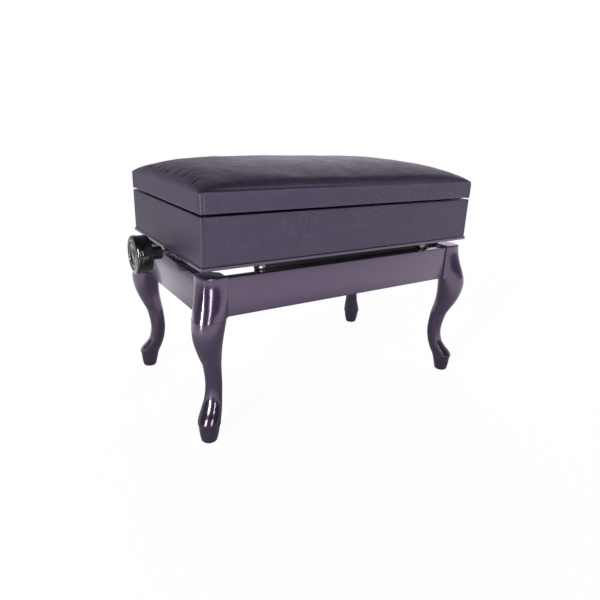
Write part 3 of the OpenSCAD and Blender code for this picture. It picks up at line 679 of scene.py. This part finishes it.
def soft_wave(x, y, z, size=1.0):
    """A shallow waviness of cloth glued on board, the same for neighbouring points."""
    return noise.noise(Vector((x * 14, y * 14, z * 9))) * size * MM


def box_skin():
    """The skin's outside, its rolled top edge, and its inside against the walls."""
    top_round = 1.1 * MM
    base = outline(half_x, half_y, 2 * MM)
    rings = []

    def outer_ring(z, inset, wave, nick_depth):
        ring = []
        for p, way, nick in base:
            moved = p - way * (inset + nick * nick_depth + 0.2 * MM * wave - soft_wave(p.x, p.y, z, 0.4 * wave))
            ring.append((moved.x, moved.y, z))
        rings.append(ring)

    def inner_ring(x, y, z):
        rings.append([(max(-x, min(x, p.x)), max(-y, min(y, p.y)), z) for p, _, _ in base])

    for step in range(10):
        outer_ring(box_low.z + (box_high.z - top_round - box_low.z) * step / 9, 0, 1, fold_deep)
    for angle in (30, 60, 90):
        a = math.radians(angle)
        inset = top_round * (1 - math.cos(a))
        outer_ring(box_high.z - top_round * (1 - math.sin(a)), inset, 1 - angle / 90, fold_deep * (1 - angle / 90))
    inner_ring(inner_x + 0.8 * MM, inner_y + 0.8 * MM, box_high.z)
    inner_ring(inner_x + 0.2 * MM, inner_y + 0.2 * MM, box_high.z - 0.4 * MM)
    inner_ring(inner_x, inner_y, wall_top)
    inner_ring(half_x - 1.2 * MM, half_y - 1.2 * MM, wall_top)
    inner_ring(half_x - 1.2 * MM, half_y - 1.2 * MM, box_low.z)
    bm = bmesh.new()
    add_rings(bm, rings + rings[:1], capped=False)
    return mesh_from(bm, "box_vinyl", 50)


new_piece("box_vinyl", box_skin(), vinyl, "seat_box", "vinyl", "box_cover")

# ---------------------------------------------------------------- box liner
# Dark felt glued on the floor of the storage box.


def fibre_cloth(name, dark, light, scale, bump):
    mat, tree, shader = start_finish(name, light, 0.95, sheen_weight=0.4, sheen_roughness=0.6)
    hairs = cloudy(tree, scale, 4, 0.8, stretch=(1, 1, 0.4))
    crossed = cloudy(tree, scale * 0.6, 3, 0.7, stretch=(0.3, 1.4, 1))
    tone = maths(tree, "ADD", maths(tree, "MULTIPLY", hairs, 0.6), maths(tree, "MULTIPLY", crossed, 0.4))
    spread = between(tree, tone, 0.3, 0.7)
    wire(tree, blend_colours(tree, spread, dark, light), shader.inputs["Base Color"])
    wire(tree, between(tree, tone, 0.3, 0.7, 0.85, 1.0), shader.inputs["Roughness"])
    raise_surface(tree, shader, tone, bump, 0.0008)
    return mat


liner_felt = fibre_cloth("liner_felt", (0.02, 0.02, 0.024), (0.06, 0.058, 0.066), 700, 0.6)
eased_piece("box_liner_felt", "box_liner", 0.8 * MM, liner_felt, "seat_box", "felt")

# ---------------------------------------------------------------- upper rails, bearings and drive bar
# Rails like the lower ones, folded to a flange that is screwed under the base board. Two brackets
# carry the lift screw, and the square drive bar runs on its thread between the sliding pins.
front_rail = eased_copy("rail_up_front", 0.35 * MM)
rear_rail = front_rail.copy()
for corner in rear_rail.vertices:
    corner.co.y *= -1
rear_rail.flip_normals()
new_piece("upper_rail_front", front_rail, enamel, "seat_box", "black_steel", "rail_up_front")
new_piece("upper_rail_rear", rear_rail, enamel, "seat_box", "black_steel", "rail_up_rear")
spots = [(((low.x + high.x) / 2, (low.y + high.y) / 2, high.z - 2 * MM), (0, 0, -1))
         for low, high in islands("rail_up_screws")]
grow_piece("upper_rail_screw_set", cross_screw, spots, screw_size, "seat_box", "steel", "rail_up_screws")
eased_piece("screw_bearing_pair", "screw_bearings", 0.4 * MM, enamel, "seat_box", "black_steel")
eased_piece("drive_bar_square", "drive_bar", 0.7 * MM, enamel, "drive_bar", "black_steel")

# ---------------------------------------------------------------- scissor arms and pins
# Flat steel arms in crossed pairs, front and back, enamelled black, riveted on steel pins whose
# domed heads show in the gap above the aprons.


def dome_tree(material):
    """A low domed rivet head at each spot."""
    tree, given, out = start_nodes("domed_head", {"Radius": 0.007, "Height": 0.0022})
    ball = add_node(tree, "GeometryNodeMeshUVSphere", {"Segments": 24, "Rings": 12, "Radius": 1.0})
    size = add_node(tree, "ShaderNodeCombineXYZ", {"X": given["Radius"], "Y": given["Radius"], "Z": given["Height"]})
    dome = add_node(tree, "GeometryNodeTransform", {"Geometry": ball.outputs[0], "Scale": size.outputs[0]})
    return plant(tree, given, out, dome, material)


dome = dome_tree(zinc)
for pair, body in (("a", "arms_a"), ("b", "arms_b")):
    for side in ("front", "rear"):
        eased_piece(f"scissor_arm_{pair}_{side}", f"arm_{pair}_{side}", 0.5 * MM, enamel, body, "black_steel")
    dress(zinc, f"pins_{pair}")
    spots = []
    for low, high in islands(f"pins_{pair}"):
        mid, way = (low + high) / 2, math.copysign(1, (low + high).y)
        spots += [((mid.x, max(low.y * way, high.y * way) * way, mid.z), (0, way, 0)),
                  ((mid.x, min(low.y * way, high.y * way) * way, mid.z), (0, -way, 0))]
    grow_piece(f"pin_heads_{pair}", dome, spots, {"Radius": 5.2 * MM, "Height": 1.4 * MM}, body, "steel")

# ---------------------------------------------------------------- lift screw
# A steel rod right through the seat box, threaded where the drive bar runs. Two collars hold it
# against the left bearing.
screw_low, screw_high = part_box("lead_screw")
rod_z, rod_r = (screw_low.z + screw_high.z) / 2, (screw_high.z - screw_low.z) / 2


def turned_mesh(name, profile, z, count=48):
    """A closed shape turned about the screw's line from (x, radius) points."""
    angles = [math.tau * i / count for i in range(count)]
    bm = bmesh.new()
    add_rings(bm, [[(x, r * math.cos(a), z + r * math.sin(a)) for a in angles] for x, r in profile])
    return mesh_from(bm, name, 32)


rod_profile = [(screw_low.x, rod_r - 0.8 * MM), (screw_low.x + 0.8 * MM, rod_r), (screw_high.x - 0.8 * MM, rod_r),
               (screw_high.x, rod_r - 0.8 * MM)]
new_piece("lift_screw", turned_mesh("lift_screw", rod_profile, rod_z), zinc, "screw", "steel", "lead_screw")
thread_start, thread_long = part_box("drive_bar")[0].x - 45 * MM, 96 * MM
lift_thread = {"Length": thread_long, "Pitch": 1.5 * MM, "Radius": rod_r - 0.1 * MM, "Depth": 0.5 * MM}
grow_piece("lift_screw_thread", thread, [((thread_start, 0, rod_z), (1, 0, 0))], lift_thread, "screw", "steel")
eased_piece("thrust_collars", "screw_collars", 0.6 * MM, zinc, "screw", "steel")

# ---------------------------------------------------------------- knobs
# Moulded phenolic handwheels: a smooth drum, a rounded rim, a ring groove and a dished face with a
# raised cap. They are pressed on the ends of the lift screw.
phenolic = worn_finish(
    "black_phenolic", (0.008, 0.010, 0.010), (0.022, 0.024, 0.025), 0.12, (40, 700, 0.1), (0.3, 70), (0.06, 0.0003),
    dulled=("Mask", 0.15), specular_ior_level=0.6, coat_weight=0.3, coat_roughness=0.05)
knob_low, knob_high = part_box("knob_right")
knob_r = (knob_high.z - knob_low.z) / 2
knob_long = 32 * MM
knob_back = knob_high.x - knob_long
# (Place along the screw from the drum's back, distance in from the rim), from hub to face, in mm
drum = [(0, 24), (0, 12), (0.15, 7), (0.8, 4.2), (2, 2.4), (3.6, 1.4), (5.5, 1.05), (12, 1), (20, 1), (22, 1.05),
        (22.7, 1.35), (23.1, 1.35), (23.5, 0.5), (24.4, 0.1), (26, 0), (28.2, 0.15), (29.8, 0.8), (31, 2),
        (31.7, 3.6), (31.95, 5.2), (32, 7.6)]
face = [(31.9, 9.6), (31.5, 10.3), (30.5, 10.8), (30.2, 11.6), (30.35, 12.6), (31, 13.2), (31.35, 14),
        (31.45, 17.6), (31, 19), (29.8, 20.3), (29.2, 21.8), (29.1, 24.6), (29.3, 27.6), (29.9, 28.4), (30.5, 29.6),
        (30.75, 32), (30.8, 37.3)]


def knob_profile():
    hub_back = knob_low.x - knob_back
    hub = [(hub_back, 5.1 * MM), (hub_back, 12 * MM), (hub_back + 1 * MM, 13 * MM), (-3 * MM, 13 * MM),
           (-0.8 * MM, 13.5 * MM)]
    turned = hub + [(x * MM, knob_r - inset * MM) for x, inset in drum + face]
    return [(knob_back + x, r) for x, r in turned]


for side, way in (("left", -1), ("right", 1)):
    profile = [(way * x, r) for x, r in knob_profile()]
    new_piece(f"handwheel_{side}", turned_mesh(f"knob_{side}", profile, rod_z, count=128), phenolic, "screw",
              "knob", f"knob_{side}")

# ---------------------------------------------------------------- piano hinge
# A continuous brassed hinge along the back: two leaves with meshing knuckles on one pin, fixed with
# countersunk cross-head screws.
brass = plated_steel("brassed_steel", (0.42, 0.32, 0.16), (0.58, 0.46, 0.25), 0.34)
hinge_screw = cross_screw_tree(brass)
eased_piece("hinge_leaf_lower", "hinge_lower", 0.12 * MM, brass, "seat_box", "brass")
eased_piece("hinge_leaf_upper", "hinge_upper", 0.12 * MM, brass, "lid", "brass")
dress(brass, "hinge_pin")
for leaf, body, way in (("lower", "seat_box", 1), ("upper", "lid", -1)):
    spots = []
    for low, high in islands(f"hinge_{leaf}_screws"):
        mid = (low + high) / 2
        spots.append(((mid.x, mid.y, (high.z if way > 0 else low.z) - way * 0.35 * MM), (0, 0, way)))
    grow_piece(f"hinge_screw_heads_{leaf}", hinge_screw, spots, {"Radius": 2.9 * MM, "Height": 0.5 * MM}, body,
               "brass", f"hinge_{leaf}_screws")

# ---------------------------------------------------------------- lid tray and foam
# A plywood board with beech rails round its edge forms a tray that holds a slab of foam.
eased_piece("lid_tray_board", "lid_board", 0.6 * MM, ply, "lid", "inner_wood")
for side in ("front", "rear", "left", "right"):
    eased_piece(f"lid_tray_rail_{side}", f"lid_rail_{side}", 0.6 * MM, beech, "lid", "inner_wood")


def open_foam():
    mat, tree, shader = start_finish("upholstery_foam", (0.85, 0.78, 0.5), 0.95)
    cells = add_node(tree, "ShaderNodeTexVoronoi", {"Scale": 900, "Vector": object_place(tree)})
    rub = place_group(tree, hand_rub, broad=12, fine=400, haze=0.1)
    wire(tree, blend_colours(tree, rub["Tone"], (0.78, 0.68, 0.4), (0.9, 0.84, 0.6)), shader.inputs["Base Color"])
    raise_surface(tree, shader, cells.outputs["Distance"], 0.6, 0.0006)
    return mat


foam = eased_piece("foam_slab", "foam_pad", 4 * MM, open_foam(), "lid", "foam")

# ---------------------------------------------------------------- lid upholstery
# One vinyl cover over the foam and the tray: turned under the edge, pulled up in an upright band
# and over a crowned top. It is gathered in small puckers at the sides, has a raised crease along
# the front and a pleat at each corner.
crown_low, crown_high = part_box("cushion")
band_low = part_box("lid_cover")[0]
lid_x, lid_y = crown_high.x, crown_high.y
edge_z = crown_low.z + 2 * MM
crown_rise = crown_high.z - edge_z
columns, rows = 168, 104
corner_r = 3 * MM
hem_in = 20 * MM
settle_cap = 3.0 * MM
settle_frames = 20
smoothing = 12  # passes
fade_in = 20    # mm


def crown_height(u, v):
    return max(0, 1 - abs(u) ** 5) ** 0.45 * max(0, 1 - abs(v) ** 2.4) ** 0.42


def round_in(x, y):
    """Moves the square corner's cell to a quarter disc, so that the plan has round corners."""
    a, b = (abs(x) - lid_x + corner_r) / corner_r, (abs(y) - lid_y + corner_r) / corner_r
    if a <= 0 or b <= 0:
        return x, y
    new_a, new_b = a * math.sqrt(1 - b * b / 2), b * math.sqrt(1 - a * a / 2)
    return math.copysign(lid_x + (new_a - 1) * corner_r, x), math.copysign(lid_y + (new_b - 1) * corner_r, y)


def top_grid():
    grid = []
    for j in range(rows + 1):
        v = math.sin(math.pi * (j / rows - 0.5))
        line = []
        for i in range(columns + 1):
            u = math.sin(math.pi * (i / columns - 0.5))
            x, y = round_in(u * lid_x, v * lid_y)
            line.append(Vector((x, y, edge_z + crown_rise * crown_height(u, v))))
        grid.append(line)
    return grid


def add_cells(bm, grid):
    """A skin over the grid; returns its vertices in rows."""
    cells = [[bm.verts.new(p) for p in line] for line in grid]
    for near, far in zip(cells, cells[1:]):
        for i in range(columns):
            bm.faces.new((near[i], near[i + 1], far[i + 1], far[i]))
    return cells


def settle(grid):
    """Lets the cover swell over the foam as cloth under pressure, with its edge held. The rise is
    capped, evened out and faded towards the edge."""
    mesh = bpy.data.meshes.new("settling")
    bm = bmesh.new()
    add_cells(bm, grid)
    bm.to_mesh(mesh)
    bm.free()
    pad = bpy.data.objects.new("settling", mesh)
    link(pad)
    held = pad.vertex_groups.new(name="held")
    start = [v.co.copy() for v in mesh.vertices]
    for index, place in enumerate(start):
        near = min(lid_x - abs(place.x), lid_y - abs(place.y)) / MM
        held.add([index], max(0.0, min(1.0, 1.3 - near / 14)), "REPLACE")
    cloth = pad.modifiers.new("cloth", "CLOTH")
    cloth.settings.quality = 5
    cloth.settings.mass = 0.3
    cloth.settings.tension_stiffness = cloth.settings.compression_stiffness = 12
    cloth.settings.bending_stiffness = 6
    cloth.settings.use_pressure = True
    cloth.settings.uniform_pressure_force = 4
    cloth.settings.effector_weights.gravity = 0
    cloth.settings.vertex_group_mass = "held"
    cloth.point_cache.frame_start, cloth.point_cache.frame_end = 1, settle_frames
    for step in range(1, settle_frames + 1):
        bpy.context.scene.frame_set(step)
    evaluated = pad.evaluated_get(bpy.context.evaluated_depsgraph_get())
    moved = [v.co.copy() for v in evaluated.data.vertices]
    bpy.context.scene.frame_set(1)
    pad.modifiers.remove(cloth)
    bpy.data.objects.remove(pad)
    rise = [[min(settle_cap, max(-settle_cap, (moved[j * (columns + 1) + i] - p).z)) for i, p in enumerate(line)]
            for j, line in enumerate(grid)]
    for _ in range(smoothing):
        rise = [[(rise[j][i] * 2 + rise[max(j - 1, 0)][i] + rise[min(j + 1, rows)][i] + rise[j][max(i - 1, 0)]
                  + rise[j][min(i + 1, columns)]) / 6 for i in range(columns + 1)] for j in range(rows + 1)]
    for j, line in enumerate(grid):
        for i, p in enumerate(line):
            near = min(lid_x - abs(p.x), lid_y - abs(p.y)) / MM
            p.z += rise[j][i] * min(1.0, near / fade_in)


def bump_at(value, centre, width):
    return math.exp(-((value - centre) / width) ** 2)


pucker_random = random.Random(7)
# Puckers as (place along the side, length up the slope, width, depth), in millimetres
side_puckers = [
    (along + pucker_random.uniform(-4, 4), pucker_random.uniform(14, 30), pucker_random.uniform(2.6, 4.2),
     pucker_random.uniform(1.4, 2.8))
    for along in (-150, -132, -116, -96, -60, -20, 18, 48, 66, 84, 104, 128)
]
front_puckers = [
    (along + pucker_random.uniform(-6, 6), pucker_random.uniform(8, 18), pucker_random.uniform(3, 5),
     pucker_random.uniform(0.25, 0.6))
    for along in range(-300, 301, 50)
]


def gather(grid):
    """Adds the puckers, the crease along the front and a slight unevenness to the settled top."""
    for j, line in enumerate(grid):
        for i, p in enumerate(line):
            x, y = p.x / MM, p.y / MM
            from_side, from_front, from_back = lid_x / MM - abs(x), y + lid_y / MM, lid_y / MM - y
            lower = 0.0
            for along, long, wide, deep in side_puckers:
                slant = along + 0.35 * from_side
                lower += deep * bump_at(y, slant, wide) * bump_at(from_side, 5 + long / 2, long / 2)
            near_long = min(from_front, from_back)
            for along, long, wide, deep in front_puckers:
                lower += deep * bump_at(x, along - 0.3 * near_long, wide) * bump_at(near_long, 10, long / 2)
            if y < 0:
                rise = (p.z - edge_z) / MM
                fade = max(0.25, min(1.0, (60 - x) / 160)) * min(1.0, from_side / 4)
                p.y -= fade * (1.3 * bump_at(rise, 1.9, 1.4) - 1.2 * bump_at(rise, 5, 1.8)) * MM
            uneven = 0.9 * noise.noise(Vector((x / 46, y / 46, 1.5))) + 0.35 * noise.noise(Vector((x / 17, y / 17, 4)))
            inside = min(1.0, min(from_side, near_long) / 12)
            p.z += (uneven * inside - lower) * MM


def pleat(x, y):
    """How far the band stands in or out at the corners, where the cover is folded over itself."""
    from_corner = (lid_x - abs(x)) / MM
    along = (lid_y - abs(y)) / MM
    if along < 0.8 and from_corner < 40:
        return 0.6 * bump_at(from_corner, 9.5, 1.4) - 1.0 * bump_at(from_corner, 6.8, 1.2)
    if from_corner < 0.8 and along < 40:
        return 0.8 * bump_at(along, 9.5, 1.5) - 1.5 * bump_at(along, 6, 1.4)
    return 0.0


def cover_mesh():
    grid = top_grid()
    settle(grid)
    gather(grid)
    bm = bmesh.new()
    cells = add_cells(bm, grid)
    rim = ([cells[0][i] for i in range(columns)] + [cells[j][columns] for j in range(rows)]
           + [cells[rows][i] for i in range(columns, 0, -1)] + [cells[j][0] for j in range(rows, 0, -1)])
    high, low, turn = edge_z, band_low.z, 2.0 * MM
    levels = [(high - (high - low - turn) * k / 10, 0.0) for k in range(1, 11)]
    levels += [(low + turn * (1 - math.sin(a)), turn * (1 - math.cos(a))) for a in map(math.radians, (30, 60, 90))]
    above = rim
    for z, inset in levels:
        ring = []
        for v in rim:
            x, y = v.co.x, v.co.y
            fade = min(1.0, (high - z) / (6 * MM))
            out = (pleat(x, y) * MM + soft_wave(x, y, z * 1.5, 0.5)) * fade - 0.2 * MM * fade - inset
            edge_x = abs(x) > lid_x - corner_r * 0.3
            edge_y = abs(y) > lid_y - corner_r * 0.3
            way = Vector((math.copysign(1, x) if edge_x else 0, math.copysign(1, y) if edge_y else 0))
            if not (edge_x or edge_y):
                way = Vector((math.copysign(1, x), math.copysign(1, y)))
            way.normalize()
            ring.append(bm.verts.new((x + way.x * out, y + way.y * out, z)))
        join_rings(bm, ring, above)
        above = ring
    hem_x, hem_y = lid_x - hem_in, lid_y - hem_in
    hem = [bm.verts.new((max(-hem_x, min(hem_x, v.co.x)), max(-hem_y, min(hem_y, v.co.y)), low)) for v in rim]
    join_rings(bm, hem, above)
    bmesh.ops.recalc_face_normals(bm, faces=bm.faces)
    mesh = bpy.data.meshes.new("lid_upholstery")
    bm.to_mesh(mesh)
    bm.free()
    return mesh


cover = bpy.data.objects.new("lid_upholstery", cover_mesh())
link(cover)
wall = cover.modifiers.new("thickness", "SOLIDIFY")
wall.thickness, wall.offset = 1.1 * MM, -1
bpy.context.view_layer.update()
cover_solid = bpy.data.meshes.new_from_object(cover.evaluated_get(bpy.context.evaluated_depsgraph_get()))
bpy.data.objects.remove(cover)
shade(cover_solid, 55)
cushion = new_piece("lid_upholstery", cover_solid, vinyl, "lid", "vinyl", "cushion", "lid_cover")

# ---------------------------------------------------------------- dust cloth
# Black spun cloth under the lid, held with staples along its edge.


def staple_tree(material):
    """Staples round a rectangle under the lid, spaced along it and lying along it."""
    tree, given, out = start_nodes(
        "staples", {"Width": 0.6, "Depth": 0.3, "Spacing": 0.05, "Crown": 0.011, "Wire": 0.0005})
    frame_line = add_node(tree, "GeometryNodeCurvePrimitiveQuadrilateral", {0: given["Width"], 1: given["Depth"]})
    spaced = add_node(tree, "GeometryNodeCurveToPoints", {
        "Curve": frame_line.outputs[0], "Length": given["Spacing"]}, mode="LENGTH")
    ends = []
    for share in (-0.5, 0.5):
        side = maths(tree, "MULTIPLY", given["Crown"], share)
        ends += [add_node(tree, "ShaderNodeCombineXYZ", {"X": side, "Z": z}).outputs[0] for z in (0.0012, -0.0011)]
    bent = add_node(tree, "GeometryNodeCurvePrimitiveBezierSegment", {
        "Resolution": 9, "Start": ends[0], "Start Handle": ends[1], "End Handle": ends[3], "End": ends[2]},
        mode="POSITION")
    section = add_node(tree, "GeometryNodeCurvePrimitiveCircle", {"Resolution": 6, "Radius": given["Wire"]})
    staple = add_node(tree, "GeometryNodeCurveToMesh", {
        "Curve": bent.outputs[0], "Profile Curve": section.outputs[0], "Fill Caps": True})
    along = add_node(tree, "FunctionNodeAlignRotationToVector", {"Vector": spaced.outputs["Tangent"]}, axis="X")
    placed = add_node(tree, "GeometryNodeInstanceOnPoints", {
        "Points": spaced.outputs["Points"], "Instance": staple.outputs[0], "Rotation": along.outputs[0]})
    lifted = add_node(tree, "GeometryNodeTransform", {"Geometry": placed.outputs[0]})
    heading = add_node(tree, "GeometryNodeSampleIndex", {
        "Geometry": given["Geometry"], "Value": add_node(tree, "GeometryNodeInputPosition").outputs[0]},
        data_type="FLOAT_VECTOR")
    tree.links.new(heading.outputs[0], lifted.inputs["Translation"])
    finish_nodes(tree, out, lifted.outputs[0], material)
    return tree


cloth_low, cloth_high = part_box("dust_cloth")
spun_cloth = fibre_cloth("dust_cloth", (0.012, 0.012, 0.014), (0.035, 0.034, 0.038), 500, 0.4)
dust_cloth = eased_piece("dust_cloth_panel", "dust_cloth", 0.3 * MM, spun_cloth, "lid", "felt")
staple_size = {"Width": 2 * (cloth_high.x - 8 * MM), "Depth": 2 * (cloth_high.y - 8 * MM), "Spacing": 38 * MM}
grow_piece("cloth_staples", staple_tree(zinc), [((0, 0, cloth_low.z), (0, 0, 1))], staple_size, "lid", "steel")

# ---------------------------------------------------------------- lid stays
# Flat steel arms hung from brackets under the lid; a pin on each runs in a slotted track on the
# box's side wall and holds the lid open.
for side in ("left", "right"):
    eased_piece(f"stay_track_plate_{side}", f"stay_track_{side}", 0.3 * MM, zinc, "seat_box", "steel")
    eased_piece(f"stay_bracket_plate_{side}", f"stay_bracket_{side}", 0.3 * MM, zinc, "lid", "steel")
    eased_piece(f"stay_arm_bar_{side}", f"stay_arm_{side}", 0.3 * MM, zinc, f"stay_{side}", "steel")

# ---------------------------------------------------------------- studio
# White paper floor in a white room with a dark patch overhead, and tall soft lights at the sides.
floor_half = 12.0
floor_mesh = bpy.data.meshes.new("floor")
floor_corners = [(-1, -1, 0), (1, -1, 0), (1, 1, 0), (-1, 1, 0)]
floor_mesh.from_pydata([tuple(floor_half * c for c in corner) for corner in floor_corners], [], [(0, 1, 2, 3)])
floor = bpy.data.objects.new("floor", floor_mesh)
link(floor)
floor_mat, floor_tree, floor_shader = start_finish("floor_paper", (0.3, 0.3, 0.3), 0.9)
# The floor glows. For rays other than the camera's, its glow is lowered under the bench, a painted shadow that shows
# in reflections, and it is dimmer far to the left; the floor that is seen glows evenly.
reach = add_node(floor_tree, "ShaderNodeVectorMath", {
    0: object_place(floor_tree, stretch=(1.0, 1.25, 1.0))}, operation="LENGTH").outputs["Value"]
far_left = add_node(floor_tree, "ShaderNodeVectorMath", {
    0: object_place(floor_tree), 1: (-0.43, 0.9, 0)}, operation="DOT_PRODUCT").outputs["Value"]
# Painted shadow: the glow falls close round the bench, for reflections only.
floor_glow_with_painted_shadow = maths(floor_tree, "MULTIPLY", between(floor_tree, reach, 0.4, 1.05, 0.18, 1.15),
             between(floor_tree, far_left, 1.1, 1.8, 1.0, 0.35))
seen = add_node(floor_tree, "ShaderNodeLightPath").outputs["Is Camera Ray"]
unseen = maths(floor_tree, "SUBTRACT", 1.0, seen)
floor_glow_with_painted_shadow = maths(floor_tree, "ADD", maths(floor_tree, "MULTIPLY", floor_glow_with_painted_shadow, unseen), maths(floor_tree, "MULTIPLY", seen, 0.93))
floor_shader.inputs["Emission Color"].default_value = (1, 1, 1, 1)
wire(floor_tree, floor_glow_with_painted_shadow, floor_shader.inputs["Emission Strength"])
floor_mesh.materials.append(floor_mat)


def strip_light(name, place, target, width, height, power):
    """A tall soft light that shows as a highlight and adds little else."""
    lamp = bpy.data.lights.new(name, "AREA")
    lamp.shape = "RECTANGLE"
    lamp.size, lamp.size_y = width, height
    lamp.energy = power
    holder = bpy.data.objects.new(name, lamp)
    holder.location = place
    holder.visible_diffuse = False
    holder.rotation_euler = (Vector(target) - Vector(place)).to_track_quat("-Z", "Y").to_euler()
    link(holder)


strip_light("left_strip", (-2.0, -1.15, 0.95), (-0.2, -0.1, 0.3), 0.4, 1.5, 120)
strip_light("front_strip", (-0.25, -2.6, 1.1), (0, 0, 0.3), 0.3, 1.2, 22)
world = bpy.data.worlds.new("studio")
bpy.context.scene.world = world
world.use_nodes = True
sky = world.node_tree
background = sky.nodes["Background"]
looking = add_node(sky, "ShaderNodeTexCoord").outputs["Generated"]


def towards(*way):
    """How far a view direction points one way, from -1 to 1."""
    return add_node(sky, "ShaderNodeVectorMath", {0: looking, 1: Vector(way).normalized()},
                    operation="DOT_PRODUCT").outputs["Value"]


behind = between(sky, towards(0.55, 0.83, 0), -0.25, 0.3, 0.05, 1.0)
low = between(sky, towards(0, 0, 1), 0.35, 0.8, 1.0, 0.06)
leftward = between(sky, towards(0.84, -0.55, 0), -0.1, 0.85, 1.0, 0.25)
far_left = between(sky, towards(-0.43, 0.9, 0.3), 0.5, 0.85, 1.0, 0.3)
room = maths(sky, "MULTIPLY", maths(sky, "MULTIPLY", behind, low), maths(sky, "MULTIPLY", leftward, far_left))
seen = add_node(sky, "ShaderNodeLightPath").outputs["Is Camera Ray"]
tint = blend_colours(sky, room, (0.03, 0.035, 0.04), (1.5, 1.36, 1.6))
wire(sky, blend_colours(sky, seen, tint, (1.0, 1.0, 1.0)), background.inputs["Color"])
background.inputs["Strength"].default_value = 1.0
